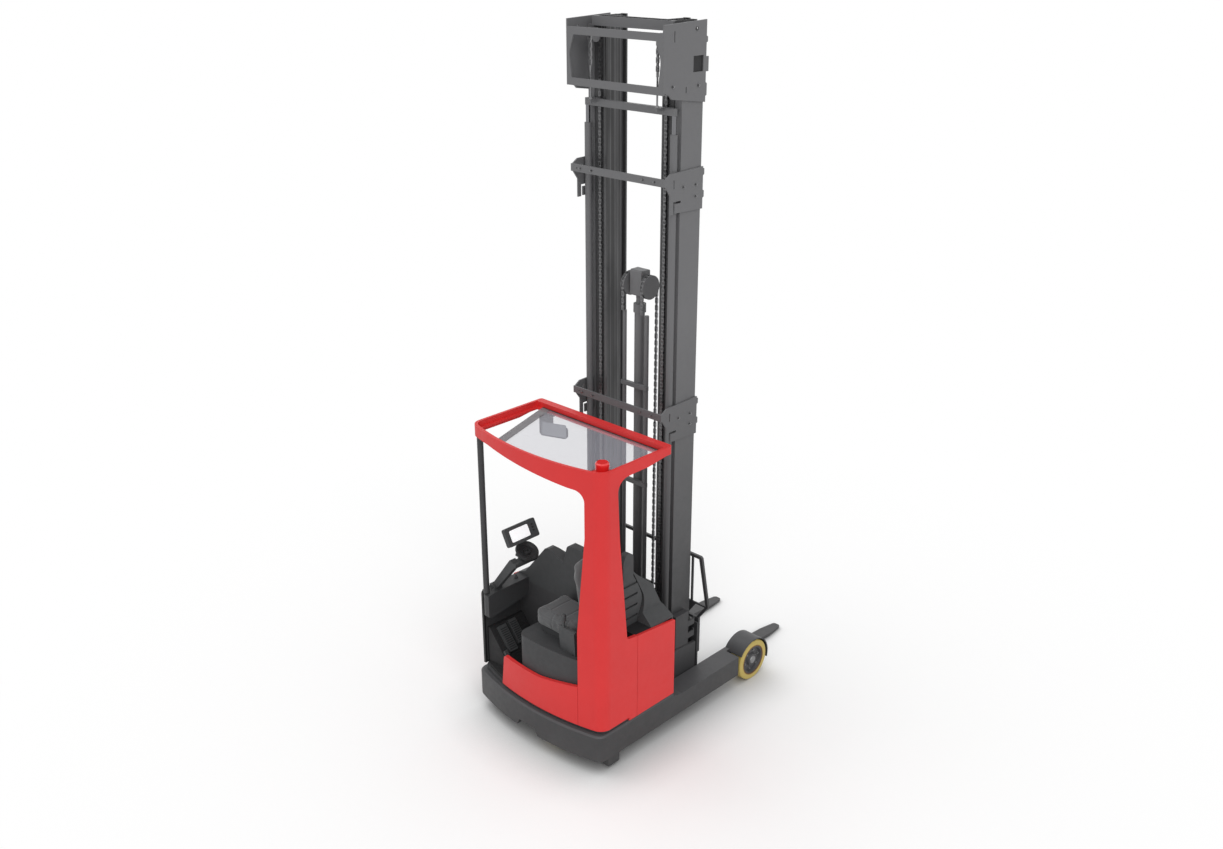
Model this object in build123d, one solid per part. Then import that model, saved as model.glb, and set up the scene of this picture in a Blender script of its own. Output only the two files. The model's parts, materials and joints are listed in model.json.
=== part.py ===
from build123d import *
import os

# Electric reach truck: a three-wheeled chassis with two load arms, an operator's cab,
# a battery, and a three-stage mast on a carriage that slides along the arms.
# Millimetres. X points to the forks, Y to the left, Z up. The origin is on the floor,
# on the centre line, halfway between the tail of the chassis and the fork tips.

# Clearances between pieces that move and pieces that sit on one another
moving_gap = 6
running_gap = 0.3
shaft_gap = 0.05

# Chassis and load arms
truck_width = 1270
cab_length = 502
tail_sagitta = 97
tail_corner_r = 70
skirt_bottom_z = 115
skirt_top_z = 318
skirt_wall = 70
rim_bevel = 12
deck_thickness = 28
bay_front_x = -415
bay_length = 345
bay_side_wall = 82
bay_end_wall = 22
tray_thickness = 22
bay_wall_thickness = 12
plinth_inset = 14
plinth_height = 26
notch_y = 15
notch_width = 160
notch_height = 54
notch_slope = 26
arm_width = 165
arm_top_z = 275
arm_end_x = 332
arm_tip_x = 640
channel_depth = 34
channel_web = 8
channel_height = 104
channel_bottom_z = 140
foot_length = 112
foot_width = 50
foot_bottom_z = 27
battery_top_z = 915
battery_gap = 6

# Wheels and drive unit
load_axle_x = 520
load_wheel_d = 326
load_wheel_width = 112
load_hub_d = 236
load_axle_r = 22
fender_gap = 12
fender_thickness = 7
fender_front_drop = 45
drive_y = -130
drive_wheel_d = 343
drive_wheel_width = 114
drive_hub_d = 250
drive_axle_r = 30
well_r = 184
bell_wall = 6
bell_top_z = 400
bell_plate = 24
turret_r = 88
flange_r = 120
flange_height = 18
motor_r = 92
motor_height = 200
gear_case_width = 46

# Cab shell
shell_inset = 28
shell_side_inset = 5
shell_wall = 26
shell_corner_r = 95
panel_top_z = 596
panel_left_y = 290
panel_left_slant = 32
column_left_y = -436
column_upper_y = -500
column_flare_z = 2125
column_flare_r = 78
waist_z = 984
left_panel_top_z = 962
cover_top_z = 942
cover_thickness = 20
seam = 3
roof_bottom_z = 2196
roof_top_z = 2276
roof_overhang = 280
roof_wall = 20
roof_beam = 60
roof_front_corner_r = 22
lip_width = 24
lip_thickness = 14
lip_top_z = 2236
glass_thickness = 8
glass_gap = 3
glass_rear_y = 319
glass_front_y = 563
post_r = 22
beacon_r = 50
beacon_height = 74
beacon_inset_x = 216
beacon_inset_y = 98
mirror_width = 218
mirror_height = 116
mirror_turn = 21
mirror_step = 28

# Operator's place
floor_thickness = 24
seat_base_left_y = 152
seat_base_corner_r = 140
seat_base_top_z = 836
seat_plinth_height = 54
seat_inset_x = 160
seat_front_y = 100
seat_back_y = -335
seat_cushion_thickness = 132
seat_back_thickness = 86
seat_back_top_z = 1570
bolster_width = 40
bolster_top_z = 1022
console_y = 500
console_top_z = 975
console_bottom_z = 800
board_foot_y = 330
board_top_y = 570
board_top_z = 650
hand_wheel_y = 330
hand_wheel_z = 1306
hand_wheel_r = 88
hand_wheel_tilt = 30
display_rise = 140
display_width = 285
display_height = 135
display_tilt = 28
hood_top_z = 1392
dash_top_z = 1291
dash_peak_y = 272
hood_right_y = -448
shell_bulge = 190

# Mast
rail_depth = 200
rail_flange = 16
rail_web = 14
inner_web = 8
mast_side_gap = 30
outer_width = 56
stage_width = 48
mast_bottom_z = 168
outer_top_z = 4850
middle_top_z = 4906
inner_top_z = 4912
roller_width = 26
stub_r = 20
bracket_rear_x = -350
bracket_front_x = 10
bracket_thickness = 10
bracket_bar = 12
bracket_height = 49
upper_bar_top_z = 3972
lower_bar_top_z = 2394
nub = 12
head_bottom_z = 4412
head_top_z = 4909
head_rear_x = -388
head_bar_height = 48
head_upper_bar_drop = 62
head_lower_bar_rise = 72
lift_hole_x = -84
lift_hole_drop = 53
lift_hole_r = 16
clamp_hole_inset = 118
clamp_hole_pitch = 143
clamp_hole_r = 5.5
lift_x = -236
lift_barrel_r = 24
lift_rod_r = 15
lift_barrel_top_z = 4232
middle_bar_top_z = 4392
middle_bar_height = 46
middle_bar_thickness = 30
chain_x = -211
chain_inset = 118
chain_width = 22
chain_thickness = 12
chain_pitch = 203.2
chain_sheave_r = 44
chain_sheave_drop = 120
free_x = -125
free_barrel_r = 36
free_rod_r = 25
free_barrel_top_z = 3040
sheave_y = 88
sheave_r = 84
sheave_z = 3170
sheave_width = 30
carriage_arm_gap = 10
carriage_plate = 22
carriage_rear_x = -400
carriage_front_x = 20
carriage_plate_top_z = 503
carriage_top_z = 772
carriage_roller_r = 46
carriage_roller_width = 24

# Forks and their carriage
fork_plate = 8
fork_carriage_top_z = 640
fork_carriage_bottom_z = 110
tilt_x = 43
tilt_z = 588
tilt_plate = 14
tilt_pin_r = 8
shift_x = 60
shift_plate = 20
shift_low_inset = 66
step_above_fender = 17
fork_inset = 153
fork_width = 100
fork_thickness = 38
fork_bottom_z = 12
fork_tip_x = 1262
fork_tip_thickness = 14
shank_top_z = 600
backrest_top_z = 1170
backrest_bulge_z = 776
backrest_bulge = 84
backrest_top_bulge = 11
backrest_bar = 24

os.makedirs("parts", exist_ok=True)

# Places that follow from the sizes above
half_width = truck_width / 2
arm_inner_y = half_width - arm_width
bay_rear_x = bay_front_x - bay_length
tail_x = bay_rear_x - cab_length
drive_x = bay_rear_x - 225
plinth_front_x = bay_rear_x - 120
side_seam_x = bay_rear_x - 40
column_side_x = tail_x + 357
column_upper_x = tail_x + 268
roof_front_x = bay_rear_x + roof_overhang
foot_x = tail_x + 242
foot_y = half_width - 45
post_x = tail_x + 128
post_y = half_width - 85
beacon_x = tail_x + beacon_inset_x
beacon_y = beacon_inset_y - half_width
console_rear_x = tail_x + 102
board_rear_x = tail_x + 162
seat_rear_x = tail_x + seat_inset_x
seat_front_x = bay_rear_x - 26
hand_wheel_x = bay_rear_x - 171
display_x = hand_wheel_x - 10
display_y = hand_wheel_y + 48
display_z = hand_wheel_z + display_rise
carriage_face_y = arm_inner_y - carriage_arm_gap
outer_face_y = carriage_face_y - carriage_plate - mast_side_gap
clamp_hole_y = outer_face_y - clamp_hole_inset
lift_y = outer_face_y - lift_barrel_r - 6
chain_y = outer_face_y - chain_inset
chain_sheave_z = middle_top_z - chain_sheave_drop
shift_half = arm_inner_y - 20
shift_low_half = shift_half - shift_low_inset
tilt_half = carriage_face_y
fork_carriage_half = carriage_face_y - 60
fork_y = arm_inner_y - fork_inset
backrest_bulge_y = shift_half + backrest_bulge
backrest_top_y = shift_half + backrest_top_bulge


def outline(corners):
    """Flat face from corners given as (u, v, corner radius)."""
    face = make_face(Polyline([(u, v) for u, v, r in corners], close=True))
    for radius in sorted({r for u, v, r in corners if r > 0}):
        spots = [Vector(u, v) for u, v, r in corners if r == radius]
        picked = [face.vertices().sort_by_distance(spot)[0] for spot in spots]
        face = fillet(picked, radius)
    return face


def side_plate(corners, y0, y1):
    """Extrude an (x, z, radius) outline across the truck from y0 to y1."""
    return extrude(Pos(0, y1, 0) * (Plane.XZ * outline(corners)), y1 - y0)


def cross_plate(corners, x0, x1):
    """Extrude a (y, z, radius) outline along the truck from x0 to x1."""
    return extrude(Pos(x0, 0, 0) * (Plane.YZ * outline(corners)), x1 - x0)


def plan_plate(corners, z0, z1):
    """Extrude an (x, y, radius) outline upwards from z0 to z1."""
    return extrude(Pos(0, 0, z0) * outline(corners), z1 - z0)


def block(x0, x1, y0, y1, z0, z1):
    centre = Pos((x0 + x1) / 2, (y0 + y1) / 2, (z0 + z1) / 2)
    return centre * Box(x1 - x0, y1 - y0, z1 - z0)


def bar_x(y, z, r, x0, x1):
    return Pos((x0 + x1) / 2, y, z) * Rot(0, 90, 0) * Cylinder(r, x1 - x0)


def bar_y(x, z, r, y0, y1):
    return Pos(x, (y0 + y1) / 2, z) * Rot(90, 0, 0) * Cylinder(r, y1 - y0)


def bar_z(x, y, r, z0, z1):
    return Pos(x, y, (z0 + z1) / 2) * Cylinder(r, z1 - z0)


def both(shape):
    """The piece and its mirror image on the other side of the truck."""
    return shape + mirror(shape, Plane.XZ)


def tail_face(inset, side_inset, front_x, corner_r, front_corner_r=0):
    """Plan of the truck: bowed tail, straight sides and a square front."""
    side = half_width - side_inset
    rear = tail_x + inset
    corner_x = rear + tail_sagitta
    tail = ThreePointArc((corner_x, side), (rear, 0), (corner_x, -side))
    rest = Polyline((corner_x, -side), (front_x, -side), (front_x, side), (corner_x, side))
    face = make_face([tail, rest])
    face = fillet(face.vertices().sort_by(Axis.X)[:2], corner_r)
    if front_corner_r:
        face = fillet(face.vertices().sort_by(Axis.X)[-2:], front_corner_r)
    return face


def tail_solid(inset, side_inset, front_x, corner_r, z0, z1, front_corner_r=0):
    face = tail_face(inset, side_inset, front_x, corner_r, front_corner_r)
    return extrude(Pos(0, 0, z0) * face, z1 - z0)


# Chassis: skirt, drive well and bell, battery bay, set-back plinth under the panels
deck_z = skirt_top_z - deck_thickness
plinth_top_z = skirt_top_z + plinth_height


def make_chassis():
    skirt = tail_solid(0, 0, bay_front_x, tail_corner_r, skirt_bottom_z, skirt_top_z)
    top = skirt.faces().sort_by(Axis.Z)[-1]
    skirt = chamfer(top.edges().sort_by(Axis.X)[:-1], rim_bevel)
    drive_bay = tail_solid(
        skirt_wall, skirt_wall, bay_rear_x - bay_end_wall, 20, skirt_bottom_z - 1, deck_z
    )
    bay_side = half_width - bay_side_wall
    battery_bay = block(
        bay_rear_x, bay_front_x - bay_end_wall, -bay_side, bay_side,
        skirt_bottom_z + tray_thickness, plinth_top_z + 1
    )
    low = notch_y - notch_width / 2
    high = notch_y + notch_width / 2
    notch = cross_plate(
        [(low - notch_slope, skirt_bottom_z - 1, 0), (high + notch_slope, skirt_bottom_z - 1, 0),
         (high, skirt_bottom_z + notch_height, 12), (low, skirt_bottom_z + notch_height, 12)],
        tail_x - 1, tail_x + skirt_wall + 60
    )
    inset = shell_inset + plinth_inset
    plinth = tail_solid(
        inset, shell_side_inset + plinth_inset, plinth_front_x,
        shell_corner_r - plinth_inset, skirt_top_z, plinth_top_z
    )
    bell_r = well_r + bell_wall
    bell = bar_z(drive_x, drive_y, bell_r, deck_z, bell_top_z)
    well = bar_z(drive_x, drive_y, well_r, deck_z - 1, bell_top_z - bell_plate)
    turret_hole = bar_z(drive_x, drive_y, turret_r + 1, deck_z, bell_top_z + 1)
    chassis = skirt + plinth - battery_bay + bell - drive_bay - notch - well - turret_hole
    return chassis


# Load arm: box beam with the carriage's roller channel along its inner side
wheel_r = load_wheel_d / 2
fender_r = wheel_r + fender_gap
wheel_outer_y = half_width - 3
wheel_inner_y = wheel_outer_y - load_wheel_width
channel_y = arm_inner_y + channel_depth


def make_load_arm():
    beam = side_plate(
        [(bay_front_x, skirt_bottom_z, 0), (arm_end_x, skirt_bottom_z, 0),
         (arm_end_x, arm_top_z, 0), (bay_front_x + 90, arm_top_z, 0),
         (bay_front_x, arm_top_z + 18, 0)],
        arm_inner_y, half_width
    )
    tip = side_plate(
        [(arm_end_x, skirt_bottom_z, 0), (arm_tip_x, skirt_bottom_z, 24),
         (arm_tip_x, arm_top_z, 60), (arm_end_x, arm_top_z, 0)],
        arm_inner_y, channel_y + channel_web
    )
    channel = block(
        bay_front_x - 1, arm_tip_x - 10, arm_inner_y - 1, channel_y,
        channel_bottom_z, channel_bottom_z + channel_height
    )
    reach = fender_r + fender_thickness
    ring = bar_y(load_axle_x, wheel_r, reach, arm_inner_y, half_width)
    ring -= bar_y(load_axle_x, wheel_r, fender_r, arm_inner_y + fender_thickness, half_width + 1)
    keep = side_plate(
        [(arm_end_x - 40, arm_top_z - 6, 0), (arm_end_x - 40, wheel_r + reach + 1, 0),
         (load_axle_x + reach + 1, wheel_r + reach + 1, 0),
         (load_axle_x + reach + 1, wheel_r - fender_front_drop, 0),
         (load_axle_x + fender_r - 20, wheel_r - fender_front_drop, 0),
         (load_axle_x + 100, arm_top_z - 60, 0)],
        arm_inner_y - 1, half_width + 1
    )
    axle = bar_y(load_axle_x, wheel_r, load_axle_r, channel_y, wheel_outer_y - 12)
    return beam + tip + (ring & keep) - channel + axle


def make_tyre(radius, hub_radius, width):
    tyre = Cylinder(radius, width) - Cylinder(hub_radius, width + 2)
    rims = tyre.edges().filter_by(GeomType.CIRCLE).sort_by(SortBy.RADIUS)[-2:]
    return Rot(90, 0, 0) * chamfer(rims, 7)


def make_hub(radius, width, bore, boss, dish):
    """Hub with a raised boss and a rim round a dished face on both sides."""
    half = width / 2
    rim = radius - 16
    profile = make_face(Polyline([
        (bore, 6 - half), (boss, 6 - half), (boss + 8, dish - half), (rim - 8, dish - half),
        (rim, 3 - half), (radius, 3 - half), (radius, half - 3), (rim, half - 3),
        (rim - 8, half - dish), (boss + 8, half - dish), (boss, half - 6), (bore, half - 6)
    ], close=True))
    return Rot(90, 0, 0) * revolve(Plane.XZ * profile, Axis.Z)


# Drive unit: the turret hangs in the bell and carries the gear case and the motor
drive_r = drive_wheel_d / 2
drive_inner_y = drive_y + drive_wheel_width / 2
motor_base_z = bell_top_z + running_gap + flange_height


def make_drive_unit():
    crown_z = drive_wheel_d + moving_gap
    turret = bar_z(drive_x, drive_y, turret_r, crown_z, bell_top_z + running_gap)
    flange = bar_z(drive_x, drive_y, flange_r, bell_top_z + running_gap, motor_base_z)
    motor = bar_z(drive_x, drive_y, motor_r, motor_base_z, motor_base_z + motor_height)
    case_y = drive_inner_y + moving_gap
    case = side_plate(
        [(drive_x - 62, drive_r - 74, 60), (drive_x + 62, drive_r - 74, 60),
         (drive_x + 74, crown_z, 0), (drive_x + 50, crown_z + 16, 0),
         (drive_x - 50, crown_z + 16, 0), (drive_x - 74, crown_z, 0)],
        case_y, case_y + gear_case_width
    )
    crown = block(
        drive_x - 50, drive_x + 50, drive_y, case_y + gear_case_width / 2, crown_z, crown_z + 16
    )
    shaft = bar_y(drive_x, drive_r, drive_axle_r, drive_y - drive_wheel_width / 2 + 12, case_y)
    return turret + flange + motor + case + crown + shaft


# Cab panels, cut from one bowed shell that stands on the plinth
def shell_ring(z0, z1, wall=shell_wall, front_x=roof_front_x, front_corner_r=0, front_wall=None):
    outer = tail_solid(
        shell_inset, shell_side_inset, front_x, shell_corner_r, z0, z1, front_corner_r
    )
    inner_corner_r = max(front_corner_r - wall, 0)
    inner_front_x = front_x - (wall if front_wall is None else front_wall)
    inner = tail_solid(
        shell_inset + wall, shell_side_inset + wall, inner_front_x, shell_corner_r - wall,
        z0 - 1, z1 + 1, inner_corner_r
    )
    return outer - inner


def make_rear_panel():
    edge = column_left_y + seam
    face = cross_plate(
        [(edge, plinth_top_z, 0), (panel_left_y + panel_left_slant, plinth_top_z, 0),
         (panel_left_y, panel_top_z, 28), (-90, panel_top_z, 500), (edge, panel_top_z + 56, 0)],
        tail_x, drive_x
    )
    return shell_ring(plinth_top_z, panel_top_z + 200) & face


def make_corner_column():
    outside = -half_width - 20
    rear_view = cross_plate(
        [(outside, skirt_top_z, 0), (column_left_y, skirt_top_z, 0), (column_left_y, 1080, 0),
         (column_upper_y, 1800, 0), (column_upper_y, column_flare_z, column_flare_r),
         (column_upper_y + 130, column_flare_z + 4, 0), (400, roof_bottom_z, 0),
         (outside, roof_bottom_z, 0)],
        tail_x, roof_front_x
    )
    step_x = plinth_front_x
    side_view = side_plate(
        [(tail_x, plinth_top_z, 0), (step_x, plinth_top_z, 0), (step_x, skirt_top_z + 2, 0),
         (side_seam_x - seam, skirt_top_z + 2, 0), (side_seam_x - seam, waist_z - 14, 0),
         (column_side_x, waist_z, 26), (column_upper_x + 14, 1760, 0),
         (column_upper_x - 8, roof_bottom_z - 8, 92), (column_upper_x + 150, roof_bottom_z, 0),
         (tail_x, roof_bottom_z, 0)],
        -half_width, half_width
    )
    return shell_ring(skirt_top_z + 2, roof_bottom_z) & rear_view & side_view


cover_y = half_width - shell_side_inset


def make_battery_covers():
    cover = side_plate(
        [(side_seam_x, skirt_top_z + 2, 0), (bay_front_x, skirt_top_z + 2, 0),
         (bay_front_x, cover_top_z - 12, 14), (side_seam_x, waist_z - 16, 0)],
        cover_y - cover_thickness, cover_y
    )
    return both(cover)


def make_left_panel():
    front = side_seam_x - seam
    rear = tail_x + 142
    return side_plate(
        [(rear, plinth_top_z, 0), (front, plinth_top_z, 0), (front, left_panel_top_z - 6, 0),
         (rear, left_panel_top_z, 40)],
        cover_y - cover_thickness, cover_y
    )


def make_bay_walls():
    side = cover_y - cover_thickness
    rear = block(
        bay_rear_x - bay_wall_thickness, bay_rear_x, -side, side, plinth_top_z, cover_top_z
    )
    rear_foot = block(
        bay_rear_x - bay_wall_thickness, bay_rear_x, -side + 24, side - 24,
        skirt_top_z, plinth_top_z
    )
    front = block(
        bay_front_x - bay_wall_thickness, bay_front_x, -side, side, skirt_top_z, cover_top_z
    )
    return rear + rear_foot + front


def make_hood():
    """Cover between the cab and the mast: a steep dark cowl, a facet and the dash."""
    rear = room_front_x
    side = cover_y - cover_thickness
    foot = bay_front_x
    along = side_plate(
        [(rear, cover_top_z, 0), (foot, cover_top_z, 0), (foot, cover_top_z + 66, 10),
         (foot - 18, cover_top_z + 96, 20), (foot - 78, hood_top_z - 201, 70),
         (foot - 220, hood_top_z - 80, 60), (foot - 290, hood_top_z, 30), (rear, hood_top_z, 0)],
        -half_width, half_width
    )
    across = cross_plate(
        [(-side, cover_top_z, 0), (130, cover_top_z, 0), (130, hood_top_z - 190, 60),
         (80, hood_top_z, 40), (hood_right_y, hood_top_z, 40),
         (hood_right_y - 56, cover_top_z + 74, 0), (-side, cover_top_z + 14, 0)],
        rear - 1, foot + 1
    )
    dash_along = side_plate(
        [(rear, cover_top_z, 0), (foot, cover_top_z, 0), (foot, cover_top_z + 43, 24),
         (foot - 200, dash_top_z - 110, 60), (foot - 290, dash_top_z, 30), (rear, dash_top_z, 0)],
        100, side
    )
    dash_across = cross_plate(
        [(100, cover_top_z, 0), (side, cover_top_z, 0), (side, cover_top_z + 38, 20),
         (side - 80, cover_top_z + 70, 30), (dash_peak_y + 40, dash_top_z - 12, 20),
         (dash_peak_y, dash_top_z, 12), (100, dash_top_z - 60, 0)],
        rear - 1, foot + 1
    )
    recess = side_plate(shell_edge(8), -half_width, hood_right_y + 18)
    return (along & across) - recess + (dash_along & dash_across) + make_seat_shell()


def shell_edge(grow):
    """Side outline of the shell behind the seat: a curved edge towards the mast."""
    edge = room_front_x + shell_bulge + grow
    rear = column_upper_x + 70
    low = seat_base_top_z + running_gap
    high = hood_top_z - 20 + grow
    return [
        (rear, low, 0), (edge - 120, low, 110), (edge, (low + hood_top_z) / 2, 150),
        (edge - 110, high, 90), (rear, high, 60)
    ]


def make_seat_shell():
    """Ribbed shell behind the seat, set into the cowl behind its curved edge."""
    edge = room_front_x + shell_bulge
    rear = column_upper_x + 70
    low = seat_base_top_z + running_gap
    front_y = hood_right_y - 30
    plate = side_plate(shell_edge(0), front_y, hood_right_y + 21)
    face = cross_plate(
        [(front_y, low, 0), (front_y, hood_top_z - 150, 60), (hood_right_y + 6, hood_top_z, 0),
         (0, hood_top_z, 0), (0, low, 0)],
        rear - 1, edge + 1
    )
    slots = None
    for i in range(4):
        z = cover_top_z + 60 + i * 84
        slot = block(rear + 30, edge - 60, front_y - 1, front_y + 14, z, z + 16)
        slots = slot if slots is None else slots + slot
    inside = block(room_front_x, bay_front_x, -half_width, half_width, low - 1, cover_top_z)
    headrest = side_plate(
        [(room_front_x - 10, hood_top_z - 110, 0), (room_front_x + 91, hood_top_z - 110, 0),
         (room_front_x + 91, hood_top_z + 96, 36), (room_front_x + 24, hood_top_z + 133, 36),
         (room_front_x - 10, hood_top_z + 60, 24)],
        hood_right_y - 26, hood_right_y + 18
    )
    return (plate & face) - slots - inside + headrest


def make_roof_frame():
    band = shell_ring(
        roof_bottom_z, roof_top_z, roof_wall, roof_front_x, roof_front_corner_r, roof_beam
    )
    lip = shell_ring(
        lip_top_z - lip_thickness, lip_top_z, roof_wall + lip_width, roof_front_x,
        roof_front_corner_r, roof_beam + lip_width
    )
    undercut = side_plate(
        [(roof_front_x + 1, roof_bottom_z - 1, 0), (roof_front_x + 1, roof_bottom_z + 22, 0),
         (roof_front_x - roof_beam, roof_bottom_z + 22, 0),
         (roof_front_x - 240, roof_bottom_z - 1, 0)],
        -half_width, half_width
    )
    corner = plan_plate(
        [(beacon_x - 70, beacon_y - 80, 0), (beacon_x + 80, beacon_y - 80, 0),
         (beacon_x + 60, beacon_y + 50, 30), (beacon_x - 40, beacon_y + 74, 30),
         (beacon_x - 110, beacon_y + 60, 0)],
        lip_top_z - lip_thickness, lip_top_z
    )
    inside = tail_solid(
        shell_inset + 10, shell_side_inset + 10, roof_front_x, shell_corner_r - 10,
        roof_bottom_z, roof_top_z
    )
    return band + lip - undercut + (corner & inside)


def make_roof_glass():
    inset = shell_inset + roof_wall + glass_gap
    side = shell_side_inset + roof_wall + glass_gap
    pane = tail_solid(
        inset, side, roof_front_x - roof_beam - glass_gap, shell_corner_r - roof_wall - glass_gap,
        lip_top_z, lip_top_z + glass_thickness
    )
    keep = plan_plate(
        [(tail_x + 43, glass_rear_y, 0), (roof_front_x - 15, glass_front_y, 0),
         (roof_front_x - 15, -half_width, 0), (tail_x + 43, -half_width, 0)],
        lip_top_z - 1, lip_top_z + glass_thickness + 1
    )
    clear = bar_z(beacon_x, beacon_y, beacon_r + 12, lip_top_z - 1, lip_top_z + 20)
    corner = block(
        tail_x, beacon_x, -half_width, beacon_y + beacon_r + 12, lip_top_z - 1, lip_top_z + 20
    )
    return pane & keep - clear - corner


def make_beacon():
    base = bar_z(beacon_x, beacon_y, beacon_r, lip_top_z, lip_top_z + 10)
    lens = bar_z(beacon_x, beacon_y, beacon_r - 4, lip_top_z + 10, lip_top_z + beacon_height)
    lens = chamfer(lens.edges().sort_by(Axis.Z)[-1], 9)
    return base + lens


def make_mirror():
    """Mirror turned to the operator; its stem goes up to a foot under the roof's ledge."""
    top = roof_bottom_z - 12
    low = top - mirror_height
    half = mirror_width / 2
    place = Pos(roof_front_x - roof_beam - 42, glass_front_y - 165, 0) * Rot(0, 0, mirror_turn)
    plate = place * cross_plate(
        [(-half, low, 26), (half, low, 26), (half, top, 0), (half - 104, top, 0),
         (half - 104, top - mirror_step, 10), (-half, top - mirror_step, 26)],
        -7, 7
    )
    stem = place * block(-7, 7, half - 104, half, top - 20, lip_top_z - lip_thickness)
    foot = block(
        roof_front_x - roof_beam - 84, roof_front_x - roof_beam - 5, glass_front_y - 140,
        glass_front_y - 70, lip_top_z - lip_thickness - 14, lip_top_z - lip_thickness
    )
    return plate + stem + foot


# Operator's place
floor_z = plinth_top_z + floor_thickness
room_inset = shell_inset + shell_wall + 1
room_side_inset = shell_side_inset + shell_wall + 1
room_front_x = bay_rear_x - bay_wall_thickness


def room(z0, z1, extra=0):
    """Plan of the cab inside its panels."""
    return tail_solid(
        room_inset + extra, room_side_inset + extra, room_front_x,
        shell_corner_r - shell_wall - 1 - extra, z0, z1
    )


def footboard(below=0):
    """Footboard that slopes up to the left wall."""
    return cross_plate(
        [(board_foot_y, floor_z - below, 0), (half_width, floor_z - below, 0),
         (half_width, board_top_z, 0), (board_top_y, board_top_z, 0)],
        board_rear_x, room_front_x
    )


def make_floor():
    plate = room(plinth_top_z, floor_z) & block(
        tail_x, 0, seat_base_left_y + 2, half_width, plinth_top_z, floor_z
    )
    tray = room(floor_z, board_top_z) & footboard()
    return plate + tray


def make_pedals():
    """Two long pedals and a small foot switch lying on the sloping footboard."""
    slope = (board_top_z - floor_z) / (board_top_y - board_foot_y)
    shapes = []
    for x0, width, y0, y1 in ((-1050, 74, 420, 556), (-950, 74, 440, 562), (-1094, 26, 400, 440)):
        z0 = floor_z + (y0 - board_foot_y) * slope
        z1 = floor_z + (y1 - board_foot_y) * slope
        shapes.append(cross_plate(
            [(y0, z0, 0), (y1, z1, 0), (y1 - 16, z1 + 22, 4), (y0 - 16, z0 + 22, 4)],
            x0, x0 + width
        ))
    return Compound(children=shapes)


def make_console():
    rear = console_rear_x
    side = cover_y - cover_thickness
    upper = side_plate(
        [(rear, console_bottom_z - 20, 20), (room_front_x, console_bottom_z + 30, 0),
         (room_front_x, console_top_z, 0), (rear + 60, console_top_z, 0),
         (rear, console_top_z - 10, 0)],
        console_y, side
    )
    wall_rear = board_rear_x - 20
    wall = side_plate(
        [(wall_rear, floor_z, 0), (room_front_x, floor_z, 0),
         (room_front_x, console_top_z - 60, 0), (wall_rear, console_top_z - 60, 0)],
        side - 12, side
    )
    envelope = tail_solid(
        shell_inset, shell_side_inset + cover_thickness, room_front_x, shell_corner_r,
        floor_z, console_top_z
    )
    return ((upper + wall) & envelope) - footboard(1)


def make_roof_post():
    return bar_z(post_x, post_y, post_r, console_top_z, roof_bottom_z)


display_place = Pos(display_x, display_y, display_z) * Rot(-display_tilt, 0, 0)
wheel_place = Pos(hand_wheel_x, hand_wheel_y, hand_wheel_z) * Rot(hand_wheel_tilt, 0, 0)
wheel_low = -16
pin_r = 10


def make_steering_column():
    arm_x = hand_wheel_x - 129
    foot = block(
        arm_x - 10, arm_x + 60, console_y + 30, console_y + 90, console_top_z, console_top_z + 30
    )
    arm = cross_plate(
        [(console_y + 30, console_top_z + 4, 0), (console_y + 90, console_top_z + 4, 0),
         (hand_wheel_y + 40, hand_wheel_z - 30, 10), (hand_wheel_y - 20, hand_wheel_z - 60, 10)],
        arm_x, arm_x + 50
    )
    head = wheel_place * bar_z(0, 0, 44, wheel_low - 58, wheel_low - moving_gap)
    pivot = wheel_place * bar_z(0, 0, pin_r, wheel_low - 20, 4)
    link = block(
        arm_x, hand_wheel_x, hand_wheel_y - 22, hand_wheel_y + 42, hand_wheel_z - 78,
        hand_wheel_z - 48
    )
    link += block(
        hand_wheel_x, hand_wheel_x + 60, hand_wheel_y - 22, hand_wheel_y + 124,
        hand_wheel_z - 78, hand_wheel_z - 60
    )
    stem = block(
        hand_wheel_x + 20, hand_wheel_x + 60, hand_wheel_y + 104, hand_wheel_y + 124,
        hand_wheel_z - 78, display_z + 30
    )
    stem += block(
        hand_wheel_x + 20, hand_wheel_x + 60, display_y + 10, hand_wheel_y + 124,
        display_z + 6, display_z + 30
    )
    return foot + arm + head + link + (stem - display_place * display_case()) + pivot


def display_case():
    case = Box(display_width, 34, display_height)
    return fillet(case.edges().filter_by(Axis.Y), 14)


def make_hand_wheel():
    """Dished disc that turns on the tilted pin of the column head."""
    bore = pin_r + shaft_gap
    rim = hand_wheel_r
    profile = make_face(Polyline([
        (bore, wheel_low), (44, wheel_low), (rim - 16, wheel_low + 8), (rim, wheel_low + 20),
        (rim - 4, 20), (rim - 16, 22), (rim - 34, 8), (30, 4), (24, 14), (bore, 14)
    ], close=True))
    return wheel_place * revolve(Plane.XZ * profile, Axis.Z)


def make_display():
    screen = Pos(-20, -17, 0) * Box(display_width - 110, 4, display_height - 46)
    return display_place * (display_case() - screen)


def make_seat_base():
    """Closed base of the seat; a set-back plinth on it leaves a dark gap under the cushion."""
    body = plan_plate(
        [(tail_x, -half_width, 0), (tail_x, seat_base_left_y, 0),
         (room_front_x, seat_base_left_y, 0), (room_front_x, -half_width, 0)],
        plinth_top_z, seat_base_top_z
    )
    body = room(plinth_top_z, seat_base_top_z, 4) & body
    corner = body.edges().filter_by(Axis.Z).sort_by_distance((tail_x, seat_base_left_y, 600))[0]
    body = fillet(corner, seat_base_corner_r / 2)
    drive_room = bar_z(
        drive_x, drive_y, well_r + bell_wall + 4, plinth_top_z - 1, seat_base_top_z - 40
    )
    riser = block(
        seat_rear_x + 46, seat_front_x - 20, seat_back_y + 30, seat_front_y - 46,
        seat_base_top_z, seat_base_top_z + seat_plinth_height
    )
    return body - drive_room + riser


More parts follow.
